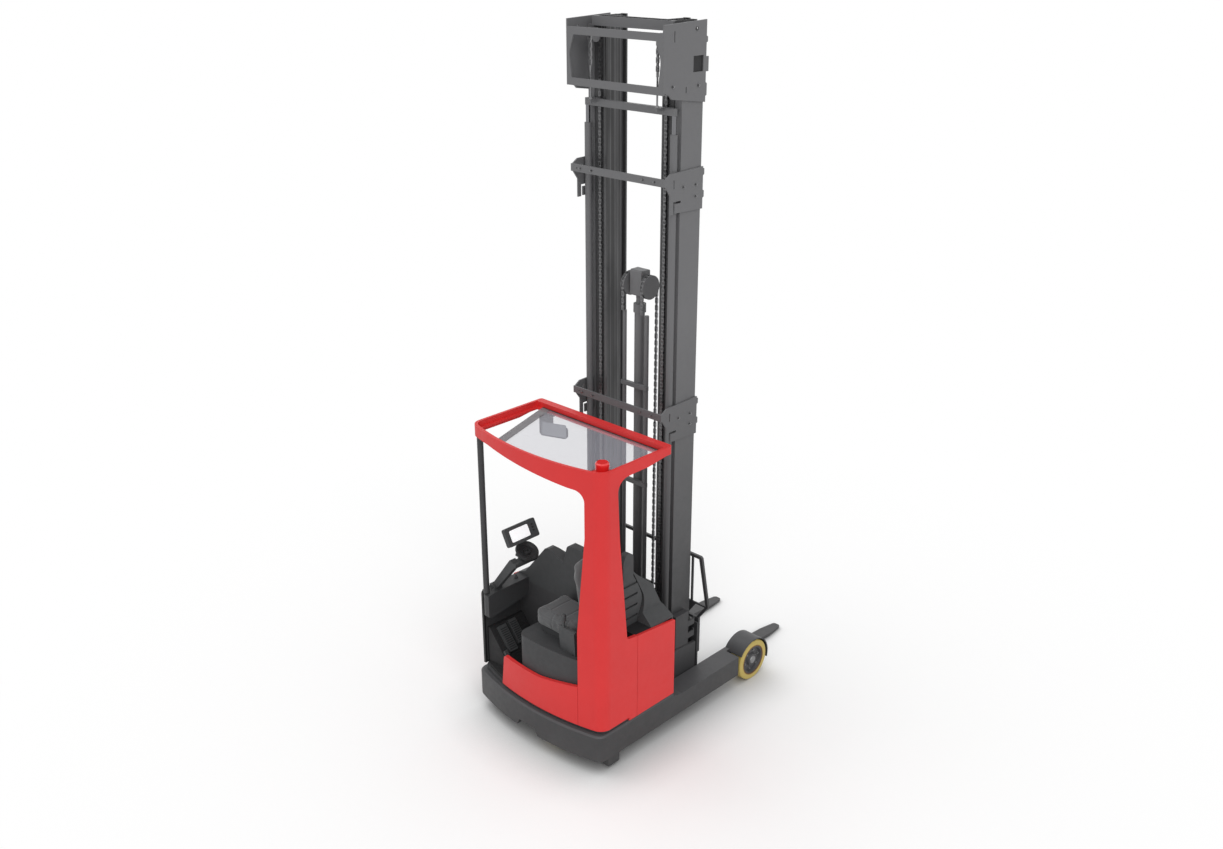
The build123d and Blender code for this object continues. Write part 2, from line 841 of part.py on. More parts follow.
def make_seat_cushion():
    z0 = seat_base_top_z + seat_plinth_height + running_gap
    body = block(
        seat_rear_x, seat_front_x, seat_back_y, seat_front_y, z0, z0 + seat_cushion_thickness
    )
    body = fillet(body.edges().filter_by(Axis.Z), 50)
    return fillet(body.faces().sort_by(Axis.Z)[-1].edges(), 30)


def make_seat_back():
    z0 = seat_base_top_z + running_gap
    front = seat_back_y - running_gap
    rear = seat_back_y - seat_back_thickness
    top = seat_back_top_z
    return cross_plate(
        [(front, z0, 0), (rear, z0, 0), (rear - 2, top - 10, 30), (rear + 60, top, 30),
         (front + 46, top - 70, 40), (front + 55, top - 170, 40), (front, top - 430, 60)],
        seat_rear_x + 8, seat_front_x - 8
    )


def make_armrest():
    """Low bolster beside the cushion with the lever on it."""
    x0 = seat_rear_x - bolster_width - moving_gap
    x1 = seat_rear_x - moving_gap
    y0 = seat_back_y - 27
    body = side_plate(
        [(x0 + 14, seat_base_top_z, 0), (x1, seat_base_top_z, 0), (x1, bolster_top_z, 10),
         (x0, bolster_top_z, 18)],
        y0, y0 + 149
    )
    lever = bar_z((x0 + x1) / 2, y0 + 117, 8, bolster_top_z, bolster_top_z + 40)
    knob = bar_z((x0 + x1) / 2, y0 + 117, 18, bolster_top_z + 40, bolster_top_z + 96)
    return body + lever + chamfer(knob.edges().filter_by(GeomType.CIRCLE), 8)


# Mast stages: each rail is a channel or beam drawn in plan and extruded to its height
outer_inner_y = outer_face_y - outer_width
middle_y = outer_inner_y - moving_gap
inner_y = middle_y - stage_width - moving_gap
inner_face_y = inner_y - stage_width
foot_z = mast_bottom_z - 18
mid_x = -rail_depth / 2
roller_r = rail_depth / 2 - rail_flange - running_gap


def rail(y_out, width, web_out, web_thickness, z0, z1):
    """Beam section with two flanges; web_out is how far the web lies in from y_out."""
    y_in = y_out - width
    web_y = y_out - web_out
    beam = block(-rail_depth, 0, y_in, y_out, z0, z1)
    if web_out > 0:
        beam -= block(-rail_depth + rail_flange, -rail_flange, web_y, y_out + 1, z0 - 1, z1 + 1)
    beam -= block(
        -rail_depth + rail_flange, -rail_flange, y_in - 1, web_y - web_thickness, z0 - 1, z1 + 1
    )
    return beam


def roller(y_stub, y0, z):
    """Roller on a stub shaft that starts at y_stub."""
    wheel = bar_y(mid_x, z, roller_r, y0, y0 + roller_width)
    shaft = bar_y(mid_x, z, stub_r, min(y_stub, y0), max(y_stub, y0 + roller_width))
    return wheel + shaft


web_set = (stage_width - inner_web) / 2


def make_outer_rails():
    channel = rail(outer_face_y, outer_width, 0, rail_web, mast_bottom_z, outer_top_z)
    web = outer_face_y - rail_web
    top_roller = roller(web, middle_y - roller_width + 12, outer_top_z - 110)
    foot = block(-rail_depth, 0, inner_face_y - 4, outer_face_y, foot_z, mast_bottom_z)
    return both(channel + top_roller + foot)


def make_middle_stage():
    z0 = mast_bottom_z + running_gap
    beam = rail(middle_y, stage_width, web_set, inner_web, z0, middle_top_z)
    outer_web = middle_y - web_set
    inner_web_y = outer_web - inner_web
    low_roller = roller(
        outer_web, outer_face_y - rail_web - moving_gap - roller_width, z0 + 110
    )
    top_roller = roller(inner_web_y, inner_y - roller_width + 12, middle_top_z - 110)
    lug = block(
        lift_x + middle_bar_thickness / 2, -rail_depth, middle_y - 40, middle_y,
        middle_bar_top_z - middle_bar_height, middle_bar_top_z
    )
    upper_lug = block(
        top_bar_x - top_bar_thickness, -rail_depth, middle_y - stage_width, middle_y,
        middle_top_z - 60, middle_top_z
    )
    chain_tab = block(
        chain_rear_x - 14, lift_x - middle_bar_thickness / 2, chain_y - 14, chain_y + 14,
        middle_bar_top_z - 18, middle_bar_top_z
    )
    sheave_arm = block(
        chain_sheave_x - 22, -rail_depth, chain_y + chain_width / 2 + 3, middle_y - 8,
        chain_sheave_z - 24, chain_sheave_z + 24
    )
    sheave = bar_y(
        chain_sheave_x, chain_sheave_z, chain_sheave_r - chain_thickness / 2,
        chain_y - chain_width / 2, chain_y + chain_width / 2 + 3
    )
    side = beam + low_roller + top_roller + lug + upper_lug + chain_tab + sheave_arm + sheave
    half_bar = lift_y + lift_rod_r - 3
    lift_bar = block(
        lift_x - middle_bar_thickness / 2, lift_x + middle_bar_thickness / 2, -half_bar,
        half_bar, middle_bar_top_z - middle_bar_height, middle_bar_top_z
    )
    top_bar = block(
        top_bar_x - top_bar_thickness, top_bar_x, -middle_y, middle_y,
        middle_top_z - 60, middle_top_z
    )
    return both(side) + lift_bar + top_bar


chain_sheave_x = chain_x - chain_sheave_r
top_bar_thickness = 12
top_bar_x = free_x - sheave_r - moving_gap
chain_rear_x = chain_x - 2 * chain_sheave_r


def chain_strip(x, y, z0, z1):
    """Flat chain run; its edges are waisted at each link."""
    links = max(1, round((z1 - z0) / chain_pitch))
    pitch = (z1 - z0) / links
    wide = chain_width / 2
    waist = wide - 4
    right = []
    for i in range(links):
        right.append((y + wide, z0 + i * pitch, 0))
        right.append((y + waist, z0 + (i + 0.5) * pitch, 0))
    right.append((y + wide, z1, 0))
    left = [(2 * y - v, w, 0) for v, w, r in reversed(right)]
    return cross_plate(right + left, x - chain_thickness / 2, x + chain_thickness / 2)


def make_lift_chains():
    front = chain_strip(chain_x, chain_y, mast_bottom_z + 120, chain_sheave_z)
    rear = chain_strip(chain_rear_x, chain_y, 4600, chain_sheave_z)
    rod = bar_z(chain_rear_x, chain_y, 6, middle_bar_top_z, 4600)
    y0 = chain_y - chain_width / 2
    ring = bar_y(
        chain_sheave_x, chain_sheave_z, chain_sheave_r + chain_thickness / 2, y0, y0 + chain_width
    )
    ring -= bar_y(
        chain_sheave_x, chain_sheave_z, chain_sheave_r - chain_thickness / 2,
        y0 - 1, y0 + chain_width + 1
    )
    upper = block(chain_rear_x - 50, chain_x + 50, y0, y0 + chain_width, chain_sheave_z,
                  chain_sheave_z + 80)
    anchor = block(
        chain_x - chain_thickness / 2, -rail_depth, chain_y + 4, chain_y + 20,
        mast_bottom_z + 120, mast_bottom_z + 180
    )
    return both(front + rear + rod + (ring & upper) + anchor)


def make_inner_stage():
    z0 = mast_bottom_z + running_gap
    beam = rail(inner_y, stage_width, web_set, inner_web, z0, inner_top_z)
    outer_web = inner_y - web_set
    low_roller = roller(outer_web, middle_y - stage_width + web_set - moving_gap - roller_width,
                        z0 + 320)
    side = both(beam + low_roller)
    bottom = block(-rail_depth, -rail_depth + rail_flange, -inner_face_y, inner_face_y, z0, z0 + 56)
    low_half = inner_face_y - 54
    bottom += block(-rail_depth, free_x + 60, -low_half, low_half, z0, z0 + 56)
    top = block(-rail_depth, -rail_depth + 14, -inner_face_y, inner_face_y,
                inner_top_z - 60, inner_top_z)
    return side + bottom + top


def make_free_lift_barrel():
    z0 = mast_bottom_z + running_gap + 56
    barrel = bar_z(free_x, 0, free_barrel_r, z0, free_barrel_top_z)
    barrel -= bar_z(free_x, 0, free_rod_r + shaft_gap, z0 + 60, free_barrel_top_z + 1)
    collar = bar_z(free_x, 0, free_barrel_r + 8, free_barrel_top_z - 60, free_barrel_top_z)
    collar -= bar_z(free_x, 0, free_rod_r + shaft_gap, z0, free_barrel_top_z + 1)
    tube = bar_z(-165, 104, 15, z0, free_barrel_top_z - 60)
    ties = None
    for z in (900, 1700, 2440):
        tie = block(-186, -158, -120, 120, z, z + 30) + block(
            -160, free_x, -20, 20, z, z + 30
        )
        ties = tie if ties is None else ties + tie
    ties -= bar_z(free_x, 0, free_barrel_r - 4, z0, free_barrel_top_z)
    return barrel + collar + both(tube) + ties


def make_free_lift_head():
    foot_clear = mast_bottom_z + running_gap + 56 + 62
    rod = bar_z(free_x, 0, free_rod_r, foot_clear, sheave_z - 40)
    body = side_plate(
        [(free_x - 44, sheave_z - 70, 12), (free_x + 44, sheave_z - 70, 12),
         (free_x + 44, sheave_z + 110, 12), (free_x - 44, sheave_z + 110, 12)],
        -52, 52
    )
    pin = bar_y(free_x, sheave_z, 16, -sheave_y - sheave_width / 2, sheave_y + sheave_width / 2)
    y0 = sheave_y - sheave_width / 2
    sheave = bar_y(free_x, sheave_z, sheave_r, y0, y0 + sheave_width)
    groove = bar_y(free_x, sheave_z, sheave_r + 1, y0 + 4, y0 + sheave_width - 4)
    groove -= bar_y(free_x, sheave_z, sheave_r - 16, y0 + 3, y0 + sheave_width - 3)
    return rod + body + pin + both(sheave - groove)


def make_free_lift_chains():
    r = sheave_r - 16 + chain_thickness / 2
    front = chain_strip(free_x + r, sheave_y, fork_carriage_top_z + 20, sheave_z)
    rear = chain_strip(free_x - r, sheave_y, free_barrel_top_z - 60, sheave_z)
    y0 = sheave_y - chain_width / 2
    ring = bar_y(free_x, sheave_z, r + chain_thickness / 2, y0, y0 + chain_width)
    ring -= bar_y(free_x, sheave_z, r - chain_thickness / 2, y0 - 1, y0 + chain_width + 1)
    upper = block(free_x - 100, free_x + 100, y0, y0 + chain_width, sheave_z, sheave_z + 100)
    return both(front + rear + (ring & upper))


def front_edge(z0, z1, spans):
    """Front edge of a side plate from z0 up to z1, with a low nub for each span."""
    corners = [(bracket_front_x, z0, 0)]
    for low, high in spans:
        corners += [(bracket_front_x, low, 0), (bracket_front_x + nub, low + 6, 0),
                    (bracket_front_x + nub, high - 6, 0), (bracket_front_x, high, 0)]
    return corners + [(bracket_front_x, z1, 0)]


def make_bracket(top):
    """Side plate of an outer crossbar, hooked under, with two nubs on its front edge."""
    rear = bracket_rear_x
    tab = rear + 90
    plate = side_plate(
        [(rear, top - bracket_height, 0), (rear + 45, top - 110, 0), (rear + 45, top - 232, 0),
         (tab - 16, top - 232, 0), (tab - 16, top - 152, 0), (tab + 57, top - 152, 0),
         (tab + 57, top - 167, 0), (tab, top - 167, 0), (tab, top - 227, 0)]
        + front_edge(top - 235, top + 38, ((top - 165, top - 113), (top - 20, top + 28)))
        + [(rear + 43, top + 28, 0), (rear, top, 0)],
        outer_face_y, outer_face_y + bracket_thickness
    )
    slot = block(
        rear + 73, rear + 83, outer_face_y - 1, outer_face_y + bracket_thickness + 1,
        top - 70, top - 14
    )
    return plate - slot


def make_crossbars():
    shape = None
    half = outer_face_y + bracket_thickness
    for top in (lower_bar_top_z, upper_bar_top_z):
        bar = block(
            bracket_rear_x - bracket_bar, bracket_rear_x, -half, half, top - bracket_height, top
        )
        for y in (clamp_hole_y - clamp_hole_pitch / 2, clamp_hole_y + clamp_hole_pitch / 2):
            bar -= bar_x(
                y, top - bracket_height / 2, clamp_hole_r, bracket_rear_x - 20, bracket_rear_x + 1
            )
        piece = both(make_bracket(top)) + bar
        shape = piece if shape is None else shape + piece
    return shape


def make_mast_head():
    half = outer_face_y + bracket_thickness
    rear = head_rear_x
    low = head_bottom_z
    top = head_top_z
    y0 = outer_face_y - 1
    y1 = half + 1
    cheek = side_plate(
        [(rear, low + 91, 0), (rear + 54, low + 69, 0), (rear + 80, low + 43, 0)]
        + front_edge(low, top, ((low + 37, low + 121), (top - 138, top - 97)))
        + [(rear, top - 16, 0)],
        outer_face_y, half
    )
    cuts = bar_y(lift_hole_x, top - lift_hole_drop, lift_hole_r, y0, y1)
    cuts += block(rear + 92, rear + 102, y0, y1, top - 120, top - 55)
    cuts += block(rear + 209, rear + 217, y0, y1, low + 69, low + 107)
    cuts += block(-111, -16, y0, y1, top - 307, top - 210)
    guard = block(
        bracket_front_x, bracket_front_x + 2 * nub, outer_face_y, half, top - 311, top - 220
    )
    upper_z = top - head_upper_bar_drop
    lower_z = low + head_lower_bar_rise
    upper = block(rear, rear + bracket_bar, -half, half, upper_z - head_bar_height, upper_z)
    lower = block(rear, rear + bracket_bar, -half, half, lower_z, lower_z + head_bar_height)
    gusset = cross_plate(
        [(half, lower_z + head_bar_height, 0), (half, upper_z - head_bar_height, 0),
         (half - 64, upper_z - head_bar_height, 0), (half - 23, (lower_z + upper_z) / 2 + 20, 130),
         (half - 42, lower_z + head_bar_height, 0)],
        rear, rear + bracket_bar
    )
    return both(cheek - cuts + guard + gusset) + upper + lower


def make_lift_cylinders():
    z0 = foot_z
    barrel = bar_z(lift_x, lift_y, lift_barrel_r, z0, lift_barrel_top_z)
    barrel -= bar_z(lift_x, lift_y, lift_rod_r + shaft_gap, z0 + 40, lift_barrel_top_z + 1)
    return both(barrel)


def make_lift_rods():
    rod = bar_z(
        lift_x, lift_y, lift_rod_r, foot_z + 60, middle_bar_top_z - middle_bar_height
    )
    return both(rod)


def make_reach_carriage():
    face = carriage_face_y
    inner = face - carriage_plate
    front = carriage_front_x
    top = carriage_plate_top_z
    plate = side_plate(
        [(carriage_rear_x, 130, 20), (front, 130, 20), (front, top - 20, 0),
         (-rail_depth, top, 0), (carriage_rear_x, top - 170, 60)],
        inner, face
    )
    cheek = block(-rail_depth, -60, outer_face_y, face - 8, mast_bottom_z, carriage_top_z)
    hooks = None
    for z in (top + 30, top + 130):
        hook = block(-60, front - 4, inner, inner + 10, z, z + 46)
        hook += block(front - 14, front - 4, inner, inner + 10, z, z + 62)
        hooks = hook if hooks is None else hooks + hook
    rollers = None
    for x in (carriage_rear_x + 50, -30):
        y0 = arm_inner_y + 4
        z = channel_bottom_z + carriage_roller_r + running_gap
        wheel = bar_y(x, z, carriage_roller_r, y0, y0 + carriage_roller_width)
        stub = bar_y(x, z, 18, face, y0)
        rollers = wheel + stub if rollers is None else rollers + wheel + stub
    base = block(carriage_rear_x + 20, 0, -inner, inner, foot_z - 18, foot_z)
    rear_wall = block(
        carriage_rear_x + 20, carriage_rear_x + 32, -inner, inner, foot_z, 300
    )
    return both(plate + cheek + hooks + rollers) + base + rear_wall


def make_fork_carriage():
    half = inner_face_y - 18
    plate = 20
    side = side_plate(
        [(mid_x - 60, mast_bottom_z + 20, 30), (5, mast_bottom_z - 8, 0),
         (5, fork_carriage_top_z, 0), (mid_x - 60, fork_carriage_top_z - 20, 30)],
        half - plate, half
    )
    rollers = None
    for z in (mast_bottom_z + 110, fork_carriage_top_z - 100):
        piece = roller(half - 2, inner_y - stage_width + web_set - moving_gap - roller_width, z)
        rollers = piece if rollers is None else rollers + piece
    bars = None
    for z0, z1 in ((fork_carriage_bottom_z, 200), (fork_carriage_top_z - 90, fork_carriage_top_z)):
        bar = block(5, 5 + fork_plate, -fork_carriage_half, fork_carriage_half, z0, z1)
        bars = bar if bars is None else bars + bar
    ear = bar_y(tilt_x, tilt_z, 14, 145, 175) + block(
        5 + fork_plate, tilt_x, 145, 175, tilt_z - 14, tilt_z + 14
    )
    ear -= bar_y(tilt_x, tilt_z, tilt_pin_r + shaft_gap, 140, 180)
    return both(side + rollers + ear) + bars


def make_tilt_frame():
    x0 = tilt_x - tilt_plate / 2
    x1 = tilt_x + tilt_plate / 2
    frame = block(x0, x1, -tilt_half, tilt_half, fork_carriage_bottom_z, fork_carriage_top_z - 10)
    centre = block(x0 - 1, x1 + 1, -230, 230, 200, 520)
    window = block(x0 - 1, x1 + 1, 135, 185, tilt_z - 30, tilt_z + 30)
    pin = bar_y(tilt_x, tilt_z, tilt_pin_r, 134, 186)
    return frame - centre - both(window) + both(pin)


shift_step_z = wheel_r + fender_r + fender_thickness + step_above_fender


def make_shift_frame():
    x1 = shift_x + shift_plate
    face = cross_plate(
        [(-shift_low_half, fork_carriage_bottom_z, 8), (shift_low_half, fork_carriage_bottom_z, 8),
         (shift_low_half, shift_step_z, 0), (shift_half, shift_step_z, 8),
         (shift_half, fork_carriage_top_z + 20, 8), (-shift_half, fork_carriage_top_z + 20, 8),
         (-shift_half, shift_step_z, 8), (-shift_low_half, shift_step_z, 0)],
        shift_x, x1
    )
    centre = block(shift_x - 1, x1 + 1, -240, 240, 210, 530)
    recess = block(
        shift_x - 1, x1 + 1, shift_half - 100, shift_half - 50, fork_carriage_top_z - 120,
        fork_carriage_top_z
    )
    hook_z = fork_carriage_top_z - 10 + running_gap
    hook = block(tilt_x - 2, shift_x, -300, 300, hook_z, hook_z + 20)
    return face - centre - both(recess) + hook


def make_backrest():
    """Welded guard above the forks: a bent outer frame, uprights, gussets and a cross rail."""
    x0 = shift_x + 4
    x1 = x0 + 12
    z0 = fork_carriage_top_z + 20
    bar = backrest_bar
    rail_z = backrest_bulge_z - 4
    right = [(shift_half, z0), (backrest_bulge_y, backrest_bulge_z), (backrest_top_y, backrest_top_z)]
    outer = [(y, z, 0) for y, z in right] + [(-y, z, 0) for y, z in reversed(right)]
    outer = [(y, z, bar if z > z0 else 0) for y, z, r in outer]
    inside = [(y - bar, z, 0) for y, z in right[:2]]
    inside.append((backrest_top_y - bar, backrest_top_z - bar, 0))
    inner = inside + [(-y, z, 0) for y, z, r in reversed(inside)]
    inner[0] = (shift_half - bar, z0 - 1, 0)
    inner[-1] = (bar - shift_half, z0 - 1, 0)
    frame = cross_plate(outer, x0, x1 + 8) - cross_plate(inner, x0 - 1, x1 + 9)
    uprights = block(x0, x1, shift_half - 84, shift_half - 68, rail_z, backrest_top_z - 4)
    uprights += block(x0, x1, 120, 140, z0, backrest_top_z - 4)
    gusset = cross_plate(
        [(shift_half - 110, z0, 0), (shift_half - 30, rail_z, 0), (shift_half - 113, rail_z, 0)],
        x0, x1
    )
    half = backrest_bulge_y - bar
    rail_bar = block(x0, x1, -half, half, rail_z - 6, rail_z + 6)
    return frame + both(uprights + gusset) + rail_bar


def make_fork(side):
    rear = shift_x + shift_plate
    front = rear + fork_thickness
    top = fork_bottom_z + fork_thickness
    profile = side_plate(
        [(rear, shank_top_z, 6), (rear, fork_bottom_z, 24), (fork_tip_x, fork_bottom_z, 0),
         (fork_tip_x, fork_bottom_z + fork_tip_thickness, 4), (fork_tip_x - 420, top, 0),
         (front, top, 30), (front, shank_top_z, 6)],
        -fork_width / 2, fork_width / 2
    )
    plan = plan_plate(
        [(rear - 40, -fork_width / 2, 0), (fork_tip_x - 170, -fork_width / 2, 0),
         (fork_tip_x, -fork_width / 2 + 18, 30), (fork_tip_x, fork_width / 2 - 18, 30),
         (fork_tip_x - 170, fork_width / 2, 0), (rear - 40, fork_width / 2, 0)],
        0, shank_top_z + 50
    )
    return Pos(0, side * fork_y, 0) * (profile & plan)


def make_feet():
    x0 = foot_x - foot_length / 2
    x1 = foot_x + foot_length / 2
    foot = side_plate(
        [(x0, foot_bottom_z, 10), (x1, foot_bottom_z, 10), (x1, skirt_bottom_z, 0),
         (x0, skirt_bottom_z, 0)],
        foot_y - foot_width / 2, foot_y + foot_width / 2
    )
    return both(foot)


def make_battery():
    side = half_width - bay_side_wall - battery_gap
    return block(
        bay_rear_x + battery_gap, bay_front_x - bay_end_wall - battery_gap, -side, side,
        skirt_bottom_z + tray_thickness, battery_top_z
    )


load_arm = make_load_arm()
load_tyre = make_tyre(wheel_r, load_hub_d / 2, load_wheel_width)
load_hub = make_hub(load_hub_d / 2, load_wheel_width, load_axle_r + shaft_gap, 46, 22)
load_place = Pos(load_axle_x, wheel_inner_y + load_wheel_width / 2, wheel_r)
drive_place = Pos(drive_x, drive_y, drive_r)
drive_tyre = make_tyre(drive_r, drive_hub_d / 2, drive_wheel_width)
drive_hub = make_hub(drive_hub_d / 2, drive_wheel_width, drive_axle_r + shaft_gap, 54, 20)

parts = {
    "chassis_frame": make_chassis(),
    "load_arm_left": load_arm,
    "load_arm_right": mirror(load_arm, Plane.XZ),
    "stabiliser_feet": make_feet(),
    "battery_block": make_battery(),
    "load_tyre_left": load_place * load_tyre,
    "load_hub_left": load_place * load_hub,
    "load_tyre_right": mirror(load_place * load_tyre, Plane.XZ),
    "load_hub_right": mirror(load_place * load_hub, Plane.XZ),
    "drive_unit": make_drive_unit(),
    "drive_tyre": drive_place * drive_tyre,
    "drive_hub": drive_place * drive_hub,
    "rear_panel": make_rear_panel(),
    "corner_column": make_corner_column(),
    "left_panel": make_left_panel(),
    "battery_covers": make_battery_covers(),
    "bay_walls": make_bay_walls(),
    "hood": make_hood(),
    "roof_frame": make_roof_frame(),
    "roof_glass": make_roof_glass(),
    "roof_post": make_roof_post(),
    "beacon": make_beacon(),
    "mirror": make_mirror(),
    "operator_floor": make_floor(),
    "pedals": make_pedals(),
    "console": make_console(),
    "steering_column": make_steering_column(),
    "hand_wheel": make_hand_wheel(),
    "display": make_display(),
    "seat_base": make_seat_base(),
    "seat_cushion": make_seat_cushion(),
    "seat_back": make_seat_back(),
    "armrest": make_armrest(),
    "reach_carriage": make_reach_carriage(),
    "outer_rails": make_outer_rails(),
    "outer_crossbars": make_crossbars(),
    "mast_head": make_mast_head(),
    "lift_cylinders": make_lift_cylinders(),
    "middle_stage": make_middle_stage(),
    "lift_rods": make_lift_rods(),
    "lift_chains": make_lift_chains(),
    "inner_stage": make_inner_stage(),
    "free_lift_cylinder": make_free_lift_barrel(),
    "free_lift_head": make_free_lift_head(),
    "free_lift_chains": make_free_lift_chains(),
    "fork_carriage": make_fork_carriage(),
    "tilt_frame": make_tilt_frame(),
    "shift_frame": make_shift_frame(),
    "backrest": make_backrest(),
    "fork_left": make_fork(1),
    "fork_right": make_fork(-1),
}

for name, shape in parts.items():
    export_step(shape, f"parts/{name}.step")
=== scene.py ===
# %% [markdown]
# # An electric reach truck, dressed in Blender
#
# The truck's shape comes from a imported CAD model. Every steel plate, rail, wheel and fork
# is already there, at its real size and place, and each one rides on the body that it
# moves with. This lesson gives those pieces their finishes, models what a CAD source
# leaves out, such as cushions, chain plates, bolts and rubber ribs, and sets up the studio.

import bpy
import bmesh
import json
import math
from mathutils import Matrix, Vector


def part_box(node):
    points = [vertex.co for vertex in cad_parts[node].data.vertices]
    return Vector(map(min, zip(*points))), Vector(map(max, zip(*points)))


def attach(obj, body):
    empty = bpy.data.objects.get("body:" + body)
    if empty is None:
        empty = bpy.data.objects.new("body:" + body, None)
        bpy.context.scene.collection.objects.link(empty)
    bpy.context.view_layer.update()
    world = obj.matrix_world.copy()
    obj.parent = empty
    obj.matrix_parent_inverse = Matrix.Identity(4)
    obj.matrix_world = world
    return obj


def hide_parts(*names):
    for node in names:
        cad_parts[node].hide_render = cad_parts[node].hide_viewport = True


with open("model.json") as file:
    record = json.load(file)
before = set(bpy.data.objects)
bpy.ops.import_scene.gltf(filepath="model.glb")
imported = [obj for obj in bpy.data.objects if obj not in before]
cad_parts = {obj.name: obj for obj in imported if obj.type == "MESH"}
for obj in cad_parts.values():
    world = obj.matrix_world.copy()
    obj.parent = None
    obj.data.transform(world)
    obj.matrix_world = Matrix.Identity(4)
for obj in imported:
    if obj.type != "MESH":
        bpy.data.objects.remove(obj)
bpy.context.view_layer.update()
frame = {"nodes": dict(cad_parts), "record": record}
nodes = frame["nodes"]

# %% [markdown]
# ## The camera
#
# The picture was taken from behind the truck's right corner, from well above the roof,
# with a moderately long lens. A camera object looks along its own -Z with +Y up, so its
# matrix has the right, up and backward directions as columns. Building these three from
# a yaw and a pitch keeps the horizon level without any constraint.

# %% Camera
picture_width = 1223
focal_pixels = 1239.7
camera_place = Vector((-6.1516, -5.5347, 5.4785))
yaw = 0.7666
pitch = -0.3873

forward = Vector((
    math.cos(yaw) * math.cos(pitch), math.sin(yaw) * math.cos(pitch), math.sin(pitch)
))
right = forward.cross(Vector((0, 0, 1))).normalized()
up = right.cross(forward)

camera_data = bpy.data.cameras.new("camera")
camera_data.sensor_width = 36
camera_data.lens = camera_data.sensor_width * focal_pixels / picture_width
camera = bpy.data.objects.new("camera", camera_data)
camera.matrix_world = Matrix.Translation(camera_place) @ Matrix(
    (right, up, -forward)
).transposed().to_4x4()
bpy.context.scene.collection.objects.link(camera)
bpy.context.scene.camera = camera
print("lens", round(camera_data.lens, 2), "mm")

# %% [markdown]
# ## Building materials from nodes
#
# A painted plate is never one flat colour, so every finish here starts from noise on
# Object coordinates. These are metres in the truck's own frame, so a scale of 40 is a
# 25 mm pattern, and a stretch below 1 on an axis draws the pattern out along it. A few
# small helpers make the nodes and link them, and each finish is then a handful of lines.

# %% Noise, ranges and mixes
def new_material(name):
    """A material, its node tree and shader, and the socket of Object coordinates."""
    material = bpy.data.materials.new(name)
    material.use_nodes = True
    tree = material.node_tree
    shader = tree.nodes["Principled BSDF"]
    place = tree.nodes.new("ShaderNodeTexCoord").outputs["Object"]
    return material, tree, shader, place


def noise(tree, place, scale, detail=3.0, stretch=(1, 1, 1)):
    mapping = tree.nodes.new("ShaderNodeMapping")
    mapping.inputs["Scale"].default_value = [scale * s for s in stretch]
    texture = tree.nodes.new("ShaderNodeTexNoise")
    texture.inputs["Scale"].default_value = 1.0
    texture.inputs["Detail"].default_value = detail
    tree.links.new(place, mapping.inputs["Vector"])
    tree.links.new(mapping.outputs["Vector"], texture.inputs["Vector"])
    return texture.outputs["Fac"]


def spread(tree, value, low, high, start=0.3, end=0.7):
    """Map start to end onto low to high; the defaults are the middle of a noise."""
    node = tree.nodes.new("ShaderNodeMapRange")
    node.inputs["From Min"].default_value = start
    node.inputs["From Max"].default_value = end
    node.inputs["To Min"].default_value = low
    node.inputs["To Max"].default_value = high
    tree.links.new(value, node.inputs["Value"])
    return node.outputs["Result"]


def mixed(tree, factor, first, second):
    """Mix two colours, given as values or as sockets."""
    node = tree.nodes.new("ShaderNodeMix")
    node.data_type = "RGBA"
    tree.links.new(factor, node.inputs["Factor"])
    for socket, colour in ((node.inputs[6], first), (node.inputs[7], second)):
        if isinstance(colour, bpy.types.NodeSocket):
            tree.links.new(colour, socket)
        else:
            socket.default_value = (*colour, 1)
    return node.outputs[2]


def bumped(tree, shader, height, distance):
    """Raise the surface by up to distance, in metres, where height is 1."""
    node = tree.nodes.new("ShaderNodeBump")
    node.inputs["Strength"].default_value = 1.0
    node.inputs["Distance"].default_value = distance
    tree.links.new(height, node.inputs["Height"])
    tree.links.new(node.outputs["Normal"], shader.inputs["Normal"])


def shade(colour, factor):
    return tuple(min(1.0, c * factor) for c in colour)


# %% [markdown]
# ## Paint and moulded plastic
#
# Light catches a fine orange peel in paint, and dirt and rubbing shift its tint and its
# gloss from place to place. One helper builds that from three noises: a slow one that
# mottles the colour, a middle one that moves the roughness, and a fine one that becomes
# a bump. Height and the way a face looks add the rest: dust near the floor, painted light
# that makes paint paler higher up, and a painted highlight on faces that look up.

# %% Coated surfaces
dust_grey = (0.23, 0.21, 0.19)
# Painted light: faces that look up turn towards this grey.
painted_top_light_grey = (0.4, 0.4, 0.42)
# Painted light: between these heights the paint turns to a paler grey.
painted_light_from_z, painted_light_to_z = 0.8, 3.0
# In front of this edge in X the paint takes one fixed colour instead.
front_from_x, front_to_x = -0.212, -0.204


def dusted(tree, place, height, tint, dust, dust_top):
    """Patchy dust that is thickest at the floor and ends at dust_top."""
    low = spread(tree, height, dust, 0, 0, dust_top)
    patch = spread(tree, noise(tree, place, 9, 6), 0.2, 1)
    multiply = tree.nodes.new("ShaderNodeMath")
    multiply.operation = "MULTIPLY"
    tree.links.new(low, multiply.inputs[0])
    tree.links.new(patch, multiply.inputs[1])
    return mixed(tree, multiply.outputs[0], tint, dust_grey)


def painted_top_light(tree, tint, lift):
    """Painted light: paler where a face looks up, as if lit by a bright ceiling."""
    facing = tree.nodes.new("ShaderNodeNewGeometry")
    turned = tree.nodes.new("ShaderNodeSeparateXYZ")
    tree.links.new(facing.outputs["Normal"], turned.inputs["Vector"])
    upward = spread(tree, turned.outputs["Z"], 0, lift, 0.2, 0.9)
    return mixed(tree, upward, tint, painted_top_light_grey)


